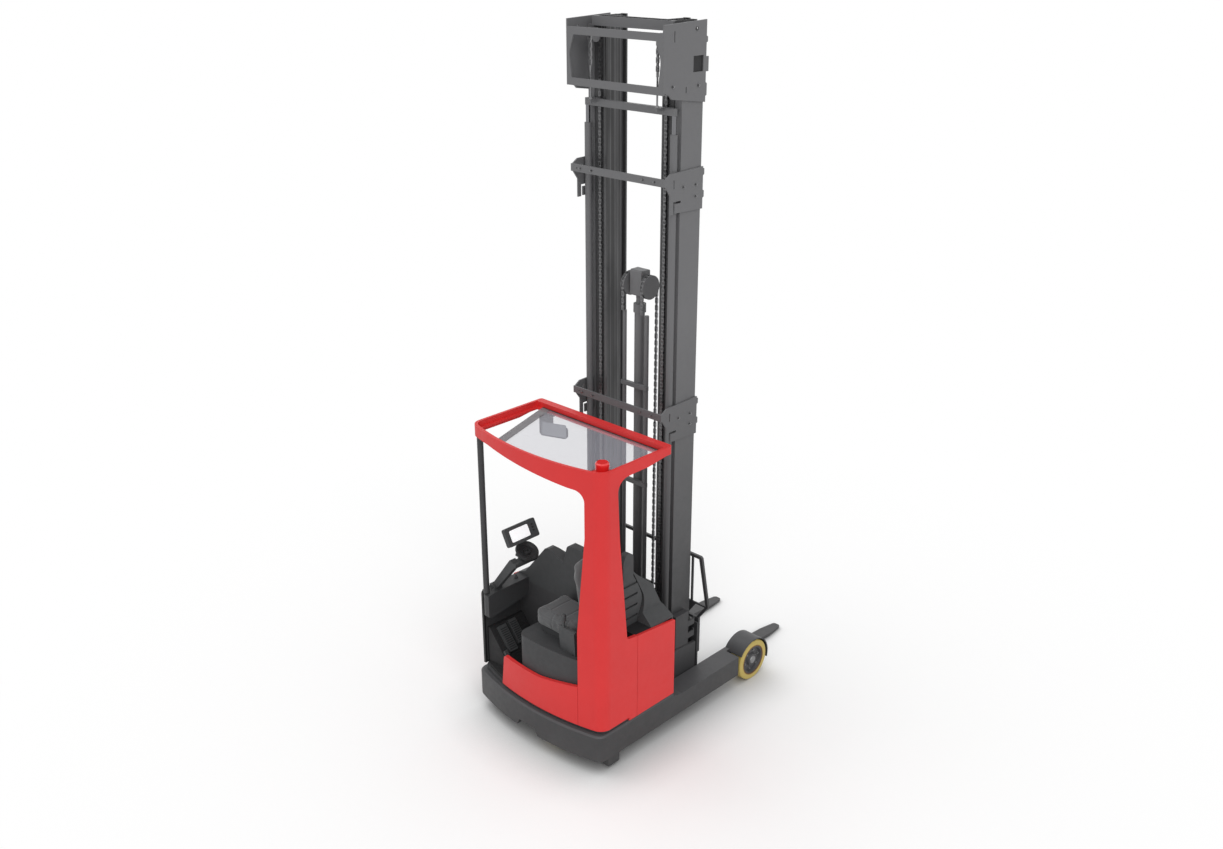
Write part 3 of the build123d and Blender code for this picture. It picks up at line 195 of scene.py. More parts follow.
def coated(name, colour, roughness, mottle=0.08, grain=0.00004, grain_scale=160, gloss=0.4,
           coat=0.0, dust=0.0, dust_top=0.35, lift=0.0, painted_height_light=None, front_colour=None):
    """Paint or moulded plastic. Painted light turns the paint to the upper colour as it rises,
    and the front colour is used wherever the paint lies in front of the mast's rear edge."""
    material, tree, shader, place = new_material(name)
    slow = spread(tree, noise(tree, place, 3.5, 5), 0, 1)
    tint = mixed(tree, slow, shade(colour, 1 - mottle), shade(colour, 1 + mottle))
    split = tree.nodes.new("ShaderNodeSeparateXYZ")
    tree.links.new(place, split.inputs["Vector"])
    # Painted light: the colour turns paler as the paint rises.
    if painted_height_light:
        high = spread(tree, split.outputs["Z"], 0, 1, painted_light_from_z, painted_light_to_z)
        tint = mixed(tree, high, tint, painted_height_light)
    # In front of the mast's rear edge one fixed colour replaces the painted height light.
    if front_colour:
        inside = spread(tree, split.outputs["X"], 0, 1, front_from_x, front_to_x)
        tint = mixed(tree, inside, tint, front_colour)
    if dust > 0:
        tint = dusted(tree, place, split.outputs["Z"], tint, dust, dust_top)
    # Painted light: the lift argument pales faces that look up.
    if lift > 0:
        tint = painted_top_light(tree, tint, lift)
    tree.links.new(tint, shader.inputs["Base Color"])
    rubbed = spread(tree, noise(tree, place, 26, 4), roughness - 0.06, roughness + 0.06)
    tree.links.new(rubbed, shader.inputs["Roughness"])
    shader.inputs["Specular IOR Level"].default_value = gloss
    shader.inputs["Coat Weight"].default_value = coat
    shader.inputs["Coat Roughness"].default_value = 0.12
    bumped(tree, shader, noise(tree, place, grain_scale, 3), grain)
    return material


# %% [markdown]
# ## The truck's finishes
#
# The factory paints the chassis and mast a dark grey with a satin gloss, and the body
# panels a warm red with hardly any clear coat. Tyres are pale yellow polyurethane, which
# is slightly waxy. The cab is moulded plastic with a leather grain, whose bump is deeper
# and finer than that of paint. The screen glows a little, since a display that is only
# painted white looks grey in the shade of the roof.

# %% Paints
satin_grey = (0.038, 0.038, 0.04)
# Painted light: the paler grey that mast and stage paint turn to higher up.
painted_height_light_grey = (0.145, 0.145, 0.15)

red_paint = coated("red_paint", (0.68, 0.034, 0.034), 0.42, mottle=0.03, grain=0.00003,
                   grain_scale=60, gloss=0.25, coat=0.04)
# The lift values below paint light on faces that look up.
chassis_paint = coated("chassis_paint", (0.042, 0.042, 0.044), 0.5, mottle=0.1, dust=0.08,
                       lift=0.08)
mast_paint = coated("mast_paint", satin_grey, 0.46, mottle=0.1, lift=0.06,
                    painted_height_light=painted_height_light_grey)
# The middle stage gets painted height light only behind the mast's rear edge.
stage_paint = coated("stage_paint", satin_grey, 0.42, mottle=0.15, lift=0.04,
                     painted_height_light=painted_height_light_grey, front_colour=(0.055, 0.055, 0.057))
fork_paint = coated("fork_paint", (0.04, 0.04, 0.042), 0.42, mottle=0.15, dust=0.05,
                    dust_top=0.2, lift=0.04)
hub_paint = coated("hub_paint", (0.045, 0.045, 0.05), 0.5, mottle=0.15, dust=0.15)
battery_paint = coated("battery_paint", (0.03, 0.03, 0.032), 0.6, mottle=0.15)

# %% Plastic and rubber
leather = {"mottle": 0.06, "grain": 0.00018, "grain_scale": 420}
seat_plastic = coated("seat_plastic", (0.042, 0.043, 0.045), 0.6, **leather)
cab_plastic = coated("cab_plastic", (0.052, 0.054, 0.056), 0.6, **leather)
black_plastic = coated("black_plastic", (0.012, 0.012, 0.013), 0.55, mottle=0.1,
                       grain=0.00015, grain_scale=420)
floor_rubber = coated("floor_rubber", (0.013, 0.013, 0.014), 0.75, mottle=0.2,
                      grain=0.0004, grain_scale=260, dust=0.05, dust_top=0.7)
tyre_rubber = coated("tyre_rubber", (0.5, 0.38, 0.1), 0.55, mottle=0.06, grain=0.0002,
                     grain_scale=300, dust=0.12)
brown_bond = coated("brown_bond", (0.17, 0.08, 0.025), 0.6, mottle=0.2)

white_screen = coated("white_screen", (0.9, 0.91, 0.93), 0.2, mottle=0.01, grain=0.00001)
screen_shader = white_screen.node_tree.nodes["Principled BSDF"]
screen_shader.inputs["Emission Color"].default_value = (1, 1, 1, 1)
screen_shader.inputs["Emission Strength"].default_value = 0.35

roof_film = coated("roof_film", (0.2, 0.19, 0.2), 0.5, mottle=0.05)
roof_film.node_tree.nodes["Principled BSDF"].inputs["Alpha"].default_value = 0.72

finishes = {
    "frame_grey": chassis_paint, "mast_grey": mast_paint, "fork_grey": fork_paint,
    "panel_red": red_paint, "cab_plastic": cab_plastic, "battery_case": battery_paint,
    "tyre": tyre_rubber, "hub_grey": hub_paint, "rubber_mat": floor_rubber,
}
print("coated finishes:", len(finishes))

# %% [markdown]
# ## Steel and greased rails
#
# Drawn and ground steel has fine streaks that change its gloss as well as its colour, so
# one stretched noise drives colour, roughness and bump together. The rods' colour is set
# dark as a painted reflection of the dark mast around them. The inner stage's
# rails are paint under grease, with upright tracks where the rollers rub.

# %% Steel and grease
def steel(name, colour, roughness, stretch):
    material, tree, shader, place = new_material(name)
    streak = noise(tree, place, 500, 3, stretch)
    tint = mixed(tree, spread(tree, streak, 0, 1), shade(colour, 0.8), shade(colour, 1.15))
    tree.links.new(tint, shader.inputs["Base Color"])
    polish = spread(tree, streak, roughness - 0.08, roughness + 0.08)
    tree.links.new(polish, shader.inputs["Roughness"])
    shader.inputs["Metallic"].default_value = 1.0
    bumped(tree, shader, streak, 0.00002)
    return material


def greased(name, dark, bare):
    """Rail paint under grease, with the rollers' upright tracks rubbed into it."""
    material, tree, shader, place = new_material(name)
    tracks = noise(tree, place, 75, 2, (1, 1, 0.003))
    smear = noise(tree, place, 14, 5, (1, 1, 0.2))
    tint = mixed(tree, spread(tree, tracks, 0, 1, 0.42, 0.6), dark, bare)
    tint = mixed(tree, spread(tree, smear, 0, 0.5), tint, dark)
    tree.links.new(tint, shader.inputs["Base Color"])
    tree.links.new(spread(tree, smear, 0.28, 0.5), shader.inputs["Roughness"])
    bumped(tree, shader, tracks, 0.0004)
    return material


rail_grease = greased("rail_grease", (0.022, 0.022, 0.023), (0.11, 0.11, 0.114))
# Painted reflection: the rod colour is dark as if it mirrored the dark mast.
finishes["rod_chrome"] = steel("rod_chrome", (0.2, 0.2, 0.21), 0.24, (1, 1, 0.02))
finishes["chain_steel"] = steel("chain_steel", (0.26, 0.26, 0.265), 0.36, (1, 1, 0.2))

# %% [markdown]
# ## Roof pane and beacon lens
#
# The roof pane is tinted safety glass. Real transmission would bend every ray twice and
# add noise for no gain on a flat pane, so Alpha lets the view through instead. The
# beacon's lens is a glossy red moulding that lets very little light through. Both have a
# noise in their roughness, like the film of dust that any glass carries.

# %% Pane and lens
def filmed(tree, place, shader, scale, detail, clean, dull):
    """Roughness that wanders between clean and dull."""
    film = spread(tree, noise(tree, place, scale, detail), clean, dull)
    tree.links.new(film, shader.inputs["Roughness"])


pane, tree, shader, place = new_material("roof_pane")
shader.inputs["Base Color"].default_value = (0.5, 0.5, 0.56, 1)
shader.inputs["Alpha"].default_value = 0.3
shader.inputs["IOR"].default_value = 1.5
filmed(tree, place, shader, 12, 4, 0.02, 0.09)
finishes["roof_glass"] = pane

lens, tree, shader, place = new_material("beacon_lens")
shader.inputs["Base Color"].default_value = (0.85, 0.02, 0.02, 1)
shader.inputs["Transmission Weight"].default_value = 0.1
shader.inputs["Coat Weight"].default_value = 0.5
filmed(tree, place, shader, 60, 2, 0.1, 0.2)
finishes["beacon_lens"] = lens

# %% [markdown]
# ## Seat cloth and mirror
#
# Woven cloth is two sets of yarns that cross. Two wave textures, one banded along X and
# one along Y, give a height each, and the higher one wins, as the yarn on top does. Sheen
# adds the soft light of its fibres. The mirror is steel whose noise is drawn out so far
# that no streaks are left, and its dark colour is a painted reflection of the dark interior.

# %% Cloth and mirror
yarn_scale = 260 / 6.28


def woven(name, colour):
    material, tree, shader, place = new_material(name)
    heights = []
    for axis in ("X", "Y"):
        wave = tree.nodes.new("ShaderNodeTexWave")
        wave.bands_direction = axis
        wave.inputs["Scale"].default_value = yarn_scale
        wave.inputs["Distortion"].default_value = 0.6
        tree.links.new(place, wave.inputs["Vector"])
        heights.append(wave.outputs["Fac"])
    join = tree.nodes.new("ShaderNodeMath")
    join.operation = "MAXIMUM"
    tree.links.new(heights[0], join.inputs[0])
    tree.links.new(heights[1], join.inputs[1])
    patch = spread(tree, noise(tree, place, 8, 4), 0, 1)
    cloth = mixed(tree, patch, shade(colour, 0.94), shade(colour, 1.06))
    # Painted shade: the colour is darker where the yarn height is low, between the yarns.
    tint = mixed(tree, join.outputs[0], shade(colour, 0.75), cloth)
    tree.links.new(tint, shader.inputs["Base Color"])
    shader.inputs["Roughness"].default_value = 0.85
    shader.inputs["Sheen Weight"].default_value = 0.3
    bumped(tree, shader, join.outputs[0], 0.0004)
    return material


finishes["seat_fabric"] = woven("seat_cloth", (0.085, 0.087, 0.09))
# Painted reflection: the mirror's steel is dark as if it showed the dark interior.
mirror_painted_reflection = steel("mirror_painted_reflection", (0.24, 0.25, 0.27), 0.12, (0.01, 0.01, 0.01))

# %% [markdown]
# ## Finishes on the CAD nodes
#
# The record names a material slot for each node, so one loop dresses them all. Some
# pieces share a slot but not a look: on the real truck the wheel rim and the trim are
# blacker than the rest of the cab, and the two moving stages wear grease. Those get
# their own finish by name.

# %% Dress the nodes
slots = {row["node"]: row["material_slot"] for row in frame["record"]["subparts"]}
for name, node in nodes.items():
    node.data.materials.clear()
    node.data.materials.append(finishes[slots[name]])

own_finishes = {
    "hand_wheel": black_plastic, "left_panel": black_plastic, "mirror": black_plastic,
    "pedals": cab_plastic, "console": seat_plastic, "seat_base": seat_plastic,
    "inner_stage": rail_grease, "middle_stage": stage_paint,
}
for name, finish in own_finishes.items():
    nodes[name].data.materials[0] = finish
print("finished", len(nodes), "nodes,", len(own_finishes), "of them by name")

# %% [markdown]
# ## Tools for the new pieces
#
# Each new piece starts as an empty bmesh, takes a few blocks, plates, rods and bolts, and
# is then written to a mesh whose object stays at the origin, so that its patterns line up
# with those of the CAD nodes. `as_piece` ties the piece to the body that carries it. The edges
# of a block are listed through a dict, which drops doubles as a set does but keeps their
# order, so that a bevel gets them in the same order in every run.

# %% Blocks, plates, rods and bolts
def edges_of(verts):
    """Every edge at these vertices, once each."""
    return list(dict.fromkeys(edge for vert in verts for edge in vert.link_edges))


def round_edges(bm, edges, offset, segments):
    bmesh.ops.bevel(bm, geom=edges, offset=offset, segments=segments, profile=0.5,
                    affect="EDGES", material=-1)


def add_block(bm, low, high, rounding=0.0, place=Matrix()):
    """A block between two corners, turned and moved by place, with rounded edges."""
    low, high = Vector(low), Vector(high)
    size = Matrix.Diagonal((*(high - low), 1))
    made = bmesh.ops.create_cube(
        bm, size=1, matrix=place @ Matrix.Translation((low + high) / 2) @ size
    )
    if rounding:
        round_edges(bm, edges_of(made["verts"]), rounding, 2)


def add_plate(bm, centre, size, corner, segments):
    """A plate with its thickness along Y and its four corners rounded."""
    made = bmesh.ops.create_cube(
        bm, size=1, matrix=Matrix.Translation(centre) @ Matrix.Diagonal((*size, 1))
    )
    through = [edge for edge in edges_of(made["verts"])
               if abs(edge.verts[0].co.y - edge.verts[1].co.y) > size[1] / 2]
    round_edges(bm, through, corner, segments)


def add_rod(bm, start, end, radius, sides=16, tip=None):
    """A round rod, or a cone where tip is given; six sides make a nut."""
    start, end = Vector(start), Vector(end)
    along = end - start
    turn = along.to_track_quat("Z", "Y").to_matrix().to_4x4()
    bmesh.ops.create_cone(bm, cap_ends=True, segments=sides, radius1=radius,
                          radius2=radius if tip is None else tip, depth=along.length,
                          matrix=Matrix.Translation((start + end) / 2) @ turn)


def add_bolt(bm, foot, outward, radius):
    """A washer, a hexagon head and the shank's end; foot is where it meets the plate."""
    foot, outward = Vector(foot), Vector(outward)
    for low, high, size, sides in (
        (-0.001, 0.002, 1.3, 20), (0.0015, 0.009, 1, 6), (0.008, 0.012, 0.5, 10)
    ):
        add_rod(bm, foot + outward * low, foot + outward * high, radius * size, sides)


# %% From a bmesh to a piece
def as_object(bm, name):
    """Write a bmesh, its faces turned outwards, to a new object at the origin."""
    bmesh.ops.recalc_face_normals(bm, faces=bm.faces)
    mesh = bpy.data.meshes.new(name)
    bm.to_mesh(mesh)
    bm.free()
    made = bpy.data.objects.new(name, mesh)
    bpy.context.scene.collection.objects.link(made)
    return made


def as_piece(bm, name, material, body):
    piece = as_object(bm, name)
    piece.data.materials.append(material)
    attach(piece, body)
    print(name, len(piece.data.polygons), "faces, lowest",
          round(min(vert.co.z for vert in piece.data.vertices), 3))
    return piece


# %% [markdown]
# ## Seat cushion and seat back
#
# A seat is foam under stretched cover, so its faces bulge and its edges pull in. The
# form starts as a shrunk block with rounded corners. A voxel remesh gives it an even
# skin, and Cloth with inner pressure blows that skin up. How far a point may move is
# capped, so that the pad stays in its place, and a few rounds of smoothing take out the
# wrinkles that the cap leaves.

# %% Blow up a pad
skin_size = 0.006
blow_frames = 20
inner_pressure = 4
smoothing_rounds = 12


def take_modifiers(pad):
    """Make what the modifiers show the pad's own mesh."""
    pad.data = bpy.data.meshes.new_from_object(
        pad.evaluated_get(bpy.context.evaluated_depsgraph_get())
    )
    pad.modifiers.clear()


def ease(pad, flat_z):
    """Smooth the pad, then flatten it on the level that it rests on."""
    bm = bmesh.new()
    bm.from_mesh(pad.data)
    for number in range(smoothing_rounds):
        bmesh.ops.smooth_vert(bm, verts=bm.verts, factor=0.5, use_axis_x=True,
                              use_axis_y=True, use_axis_z=True)
    for vert in bm.verts:
        vert.co.z = max(vert.co.z, flat_z)
    bm.to_mesh(pad.data)
    bm.free()


def blown_up(bm, name, cap, flat_z):
    """Skin a closed form and inflate it, each point by at most cap."""
    pad = as_object(bm, name)
    skin = pad.modifiers.new("skin", "REMESH")
    skin.mode = "VOXEL"
    skin.voxel_size = skin_size
    take_modifiers(pad)
    rest = [vert.co.copy() for vert in pad.data.vertices]
    cloth = pad.modifiers.new("cover", "CLOTH")
    cloth.settings.use_pressure = True
    cloth.settings.uniform_pressure_force = inner_pressure
    cloth.settings.effector_weights.gravity = 0
    cloth.point_cache.frame_end = blow_frames
    for number in range(1, blow_frames + 1):
        bpy.context.scene.frame_set(number)
    take_modifiers(pad)
    for vert, start in zip(pad.data.vertices, rest):
        move = vert.co - start
        vert.co = start + move * min(1.0, cap / max(move.length, 1e-6))
    ease(pad, flat_z)
    bpy.context.scene.frame_set(1)
    return pad


# %% [markdown]
# ## Sewn channels
#
# The cover is sewn down along lines, and the foam swells between them. A channel is a
# function that says how far a point is from its seam. Points near a seam sink along
# their normals, by a bell curve. This comes after the blowing up, because the remesh
# would erase it, and one level of subdivision then rounds the channels.

# %% Sew and finish a pad
seam_depth = 0.005
seam_width = 0.005
out_of_reach = 0.05


def sew(pad, channels):
    normals = [vert.normal.copy() for vert in pad.data.vertices]
    for vert, normal in zip(pad.data.vertices, normals):
        sink = max(math.exp(-(channel(vert.co) / seam_width) ** 2) for channel in channels)
        vert.co -= normal * seam_depth * sink


def as_pad(pad, body, node):
    smooth = pad.modifiers.new("smooth", "SUBSURF")
    smooth.levels = smooth.render_levels = 1
    take_modifiers(pad)
    pad.data.shade_smooth()
    pad.data.materials.clear()
    pad.data.materials.append(finishes["seat_fabric"])
    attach(pad, body)
    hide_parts(node)
    print(pad.name, len(pad.data.polygons), "faces")


# %% [markdown]
# ## The cushion
#
# The cushion takes its size from the CAD node that it replaces, less the few
# millimetres that it grows by. Two long seams set off a middle panel, two cross seams
# divide it, and one seam runs round the rim. Beside the middle panel and below the top,
# the cross seams run 50 mm further back.

# %% Seat cushion
cushion_low, cushion_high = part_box("seat_cushion")
shrink = Vector((0.009, 0.009, 0.006))
low, high = cushion_low + shrink, cushion_high - shrink
bm = bmesh.new()
add_block(bm, low, high)
upright = [e for e in bm.edges if abs(e.verts[0].co.z - e.verts[1].co.z) > 0.05]
round_edges(bm, upright, 0.045, 5)
rim = [e for e in bm.edges if min(v.co.z for v in e.verts) > high.z - 0.001]
round_edges(bm, rim, 0.024, 4)
cushion = blown_up(bm, "seat_cushion_pad", 0.012, cushion_low.z + 0.001)

middle_x = (low.x + high.x) / 2
panel_half = 0.1
panel_z, rim_seam_z = 0.96, 0.968


def long_seam(p):
    away = out_of_reach if p.z < panel_z else 0
    return abs(abs(p.x - middle_x) - panel_half) + away


def cross_seam(y, step_back=0.05):
    def distance(p):
        beside = p.z < panel_z or abs(p.x - middle_x) > panel_half
        return p.y - y + (step_back if beside else 0)
    return distance


def rim_seam(p):
    return p.z - rim_seam_z


sew(cushion, [long_seam, cross_seam(-0.03), cross_seam(-0.17), rim_seam])
as_pad(cushion, "chassis", "seat_cushion")

# %% [markdown]
# ## The seat back
#
# The back is a side profile in Y and Z: thin and upright at the foot, swelling forward
# above, with a sloped top. Extruding one face along X gives it its width. Its channels
# lie on its front alone, and the last one is the piping near its rear edge.

# %% Seat back
back_right_x, back_width = -1.086, 0.284
back_middle_x = -0.944
back_panel_half = 0.095
back_front_y, piping_y = -0.37, -0.395
bm = bmesh.new()
profile = [bm.verts.new((back_right_x, y, z)) for y, z in (
    (-0.344, 0.845), (-0.344, 1.14), (-0.289, 1.4), (-0.297, 1.5), (-0.362, 1.562),
    (-0.414, 1.552), (-0.413, 0.845)
)]
grown = bmesh.ops.extrude_face_region(bm, geom=[bm.faces.new(profile)])
bmesh.ops.translate(bm, vec=(back_width, 0, 0),
                    verts=[v for v in grown["geom"] if isinstance(v, bmesh.types.BMVert)])
round_edges(bm, list(bm.edges), 0.017, 3)
seat_back = blown_up(bm, "seat_back_pad", 0.01, 0.8375)


def back_long_seam(p):
    away = out_of_reach if p.y < back_front_y else 0
    return abs(abs(p.x - back_middle_x) - back_panel_half) + away


def back_cross_seam(z):
    def distance(p):
        beside = p.y < back_front_y or abs(p.x - back_middle_x) > back_panel_half
        return abs(p.z - z) + (out_of_reach if beside else 0)
    return distance


def piping(p):
    return p.y - piping_y


sew(seat_back, [back_long_seam, back_cross_seam(1.2), back_cross_seam(1.35), piping])
as_pad(seat_back, "chassis", "seat_back")

# %% [markdown]
# ## Leaf chains
#
# A mast chain has no rollers. Thin steel plates lie side by side on pins, three in one
# link and two in the next, which gives the chain its stepped edge. Two link meshes are
# modelled once, and each is then copied along a path: up to the sheave, round half of
# it, and down again. The copies come from `from_mesh`, so the chain stays one light
# mesh.

# %% Two kinds of link
link_pitch = 0.0254
plate_size = (0.0118, 0.0034, 0.0364)


def chain_link(name, plate_places, with_pins):
    """One link along Z at the origin, its plates side by side in Y."""
    bm = bmesh.new()
    for y in plate_places:
        add_plate(bm, (0, y, 0), plate_size, 0.0045, 2)
    for z in (-link_pitch / 2, link_pitch / 2) if with_pins else ():
        add_rod(bm, (0, -0.011, z), (0, 0.011, z), 0.0035, 8)
    mesh = bpy.data.meshes.new(name)
    bm.to_mesh(mesh)
    bm.free()
    print(name, len(mesh.polygons), "faces")
    return mesh


wide_link = chain_link("wide_link", (-0.0088, 0, 0.0088), True)
narrow_link = chain_link("narrow_link", (-0.0044, 0.0044), False)

# %% [markdown]
# ## Laying the chains
#
# The way along the path says where a link lies: on the front run, on the sheave, where it
# also turns, or on the rear run. Four chains are laid, two on the middle stage and two on
# the free lift's crosshead. Each lift chain ends in a threaded rod with a nut, bolted to
# the middle stage, and its front run ends in an anchor block.

# %% Lay links over a sheave
def lay_chain(bm, y, start_z, front_x, sheave_z, radius, end_z):
    """Links from start_z up the front, round the sheave and down to end_z behind it."""
    rise, turn = sheave_z - start_z, math.pi * radius
    count = int((rise + turn + sheave_z - end_z) / link_pitch)
    for number in range(count):
        way = (number + 0.5) * link_pitch
        angle = min(max((way - rise) / radius, 0), math.pi)
        if way < rise:
            spot = Vector((front_x, y, start_z + way))
        elif way < rise + turn:
            spot = Vector((front_x - radius + radius * math.cos(angle), y,
                           sheave_z + radius * math.sin(angle)))
        else:
            spot = Vector((front_x - 2 * radius, y, sheave_z - (way - rise - turn)))
        before = len(bm.verts)
        bm.from_mesh(narrow_link if number % 2 else wide_link)
        bm.verts.ensure_lookup_table()
        bmesh.ops.transform(bm, verts=bm.verts[before:], matrix=Matrix.Translation(spot)
                            @ Matrix.Rotation(-angle, 4, "Y"))


# %% Lift chains
chain_y = 0.29
rod_x, rod_foot_z, rod_top_z = -0.299, 4.392, 4.6

# Both chains come before the anchors. A bevel frees places in the list of vertices, and
# a link laid after one would land in them, out of reach of the slice that moves it.
bm = bmesh.new()
for side in (-1, 1):
    lay_chain(bm, side * chain_y, 0.294, -0.211, 4.786, 0.044, 4.606)
for side in (-1, 1):
    y = side * chain_y
    for foot_z, top_z, radius, sides in (
        (rod_foot_z, rod_top_z, 0.006, 14), (4.578, 4.61, 0.0085, 14),
        (4.393, 4.407, 0.0105, 6)
    ):
        add_rod(bm, (rod_x, y, foot_z), (rod_x, y, top_z), radius, sides)
    near_y, far_y = sorted((y + side * 0.004, y + side * 0.02))
    add_block(bm, (-0.217, near_y, 0.288), (-0.2, far_y, 0.348), 0.002)
lift_chains = as_piece(bm, "leaf_chains", finishes["chain_steel"], "mast_middle")
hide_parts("lift_chains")

# %% Free lift chains
bm = bmesh.new()
for y in (-0.088, 0.088):
    lay_chain(bm, y, 0.66, -0.051, 3.17, 0.074, 2.98)
free_chains = as_piece(bm, "free_leaf_chains", finishes["chain_steel"], "free_lift")
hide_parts("free_lift_chains")

# %% [markdown]
# ## Roof glass edging
#
# The glass is bonded along three sides with black adhesive and has a printed grey band
# on its free left edge. Both are thin slabs that reach a little into the glass, since
# two faces on the same level would flicker. The band is one long block, laid along the
# slanted edge and cut off by two planes where the glass ends.

# %% Grey band
glass_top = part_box("roof_glass")[1].z
band_z = (glass_top - 0.002, glass_top + 0.001)
edge_rear = Vector((-1.185, 0.33, 0))
edge_turn = math.atan2(0.547 - 0.33, -0.543 + 1.185)
edge_place = Matrix.Translation(edge_rear) @ Matrix.Rotation(edge_turn, 4, "Z")


def fill_holes(bm):
    bmesh.ops.holes_fill(bm, edges=[e for e in bm.edges if e.is_boundary])


bm = bmesh.new()
add_block(bm, (-0.1, -0.07, band_z[0]), (0.8, -0.0005, band_z[1]), 0, edge_place)
front_cut = ((-0.554, 0, 0), (1, 0, 0))
rear_cut = ((-1.178, 0.3, 0), (-0.989, 0.145, 0))
for spot, outward in (front_cut, rear_cut):
    bmesh.ops.bisect_plane(bm, geom=bm.verts[:] + bm.edges[:] + bm.faces[:], plane_co=spot,
                           plane_no=outward, clear_outer=True)
    fill_holes(bm)
as_piece(bm, "roof_glass_band", roof_film, "chassis")

# %% [markdown]
# ## Black bonding lines
#
# The rear line follows the glass's curve: a small section is turned to the left end of
# that arc and spun about its centre to the right end. The front and the right line are
# straight blocks.

# %% Bonding lines
arc_centre = Vector((0.832, 0, 0))
line_outer, line_inner = 2.0425, 2.031
left_degrees, right_degrees = 9.2, 16.2
bm = bmesh.new()
bm.faces.new([bm.verts.new((arc_centre.x - r, 0, z)) for r, z in (
    (line_outer, band_z[0]), (line_inner, band_z[0]),
    (line_inner, band_z[1]), (line_outer, band_z[1])
)])
bmesh.ops.rotate(bm, verts=bm.verts, cent=arc_centre,
                 matrix=Matrix.Rotation(math.radians(-left_degrees), 3, "Z"))
bmesh.ops.spin(bm, geom=bm.faces[:] + bm.edges[:] + bm.verts[:], cent=arc_centre,
               axis=(0, 0, 1), angle=math.radians(left_degrees + right_degrees), steps=30,
               use_merge=False)
fill_holes(bm)
add_block(bm, (-0.554, -0.605, band_z[0]), (-0.5435, 0.542, band_z[1]))
add_block(bm, (-1.105, -0.6065, band_z[0]), (-0.5435, -0.596, band_z[1]))
as_piece(bm, "roof_glass_lines", black_plastic, "chassis")

# %% [markdown]
# ## Display
#
# The screen is a white plate with rounded corners in the display's recess, with three
# keys beside it. They take the same turn as the case, given once as a matrix, so that
# all their sizes can be read as if the display stood upright at the origin.

# %% Screen and keys
display_turn = Matrix.Rotation(math.radians(-28), 4, "X")
display_place = Matrix.Translation((-0.941, 0.378, 1.446)) @ display_turn
bm = bmesh.new()
add_plate(bm, (-0.02, -0.0155, 0), (0.171, 0.0025, 0.085), 0.009, 4)
bmesh.ops.transform(bm, verts=bm.verts, matrix=display_place)
as_piece(bm, "display_screen", white_screen, "chassis")

bm = bmesh.new()
for row in range(3):
    drop = row * 0.022
    add_block(bm, (0.094, -0.0195, 0.022 - drop), (0.112, -0.0165, 0.034 - drop), 0.001,
              display_place)
as_piece(bm, "display_keys", black_plastic, "chassis")

# %% [markdown]
# ## Mirror and console
#
# The mirror has a silvered plate on the side that faces the seat. The console carries
# a panel with two rows of four keys, and a turning switch: a short cone with a grip.

# %% Mirror plate
mirror_turn = Matrix.Rotation(math.radians(21), 4, "Z")
mirror_place = Matrix.Translation((-0.582, 0.398, 2.126)) @ mirror_turn
bm = bmesh.new()
# The plate's dark steel is a painted reflection of the dark interior.
add_block(bm, (-0.0082, -0.1, -0.049), (-0.0062, 0.1, 0.049), 0.0008, mirror_place)
as_piece(bm, "mirror_plate", mirror_painted_reflection, "chassis")

# %% Console keys
bm = bmesh.new()
add_block(bm, (-1.085, 0.523, 0.974), (-1.0, 0.585, 0.978), 0.0015)
for column in range(4):
    for row in range(2):
        x, y = -1.08 + column * 0.0195, 0.53 + row * 0.027
        add_block(bm, (x, y, 0.9775), (x + 0.0155, y + 0.022, 0.982), 0.0012)
add_rod(bm, (-0.845, 0.555, 0.974), (-0.845, 0.555, 0.99), 0.015, 24, 0.012)
add_block(bm, (-0.8475, 0.545, 0.988), (-0.8425, 0.565, 1.006), 0.0015)
as_piece(bm, "console_keys", cab_plastic, "chassis")

# %% [markdown]
# ## Rubber mat and pedal treads
#
# Feet need grip. The mat and the footboard have long ribs, and the pedals have cross
# ribs. All ribs on the footboard share one matrix, which turns the slope's own
# directions into the truck's: along X, and up the slope in Y and Z.

# %% Mat ribs
board_foot_y, board_foot_z = 0.33, 0.368
board_top_y, board_top_z = 0.57, 0.65
slope = math.atan2(board_top_z - board_foot_z, board_top_y - board_foot_y)
board_place = Matrix.Translation((0, board_foot_y, board_foot_z)) @ Matrix.Rotation(
    slope, 4, "X")
rib_width, rib_rounding = 0.008, 0.0012

bm = bmesh.new()
for row in range(8):
    y = 0.172 + row * 0.019
    add_block(bm, (-1.09, y, 0.3675), (-0.785, y + rib_width, 0.3705), rib_rounding)
for row in range(17):
    y = 0.014 + row * 0.021
    add_block(bm, (-1.085, y, -0.0005), (-0.785, y + rib_width, 0.0025), rib_rounding,
              board_place)
as_piece(bm, "mat_ribs", floor_rubber, "chassis")

# %% Pedal ribs
bm = bmesh.new()
for left, width, y0, y1 in ((-1.05, 0.074, 0.42, 0.556), (-0.95, 0.074, 0.44, 0.562)):
    start = (y0 - board_foot_y) / math.cos(slope)
    end = (y1 - board_foot_y) / math.cos(slope)
    rib = start + 0.022
    while rib < end - 0.012:
        add_block(bm, (left + 0.008, rib, 0.0255), (left + width - 0.008, rib + 0.006, 0.0292),
                  0.001, board_place)
        rib += 0.016
as_piece(bm, "pedal_ribs", floor_rubber, "chassis")

# %% [markdown]
# ## Load wheels
#
# The polyurethane tread is bonded to a dished steel hub, and the brown adhesive shows as
# a thin ring. A cap closes the bearing and six bolts hold the hub. The ring is a small
# section spun about the axle. A full spin leaves its first section as a wall inside the
# ring, so the faces whose edges all carry a third face are deleted. Each wheel's pieces
# ride on that wheel and turn with it.

# %% Bolts, cap and bond ring
axle_x, axle_z = 0.52, 0.163
bolt_circle = 0.079
bond_inner, bond_outer = 0.114, 0.1225

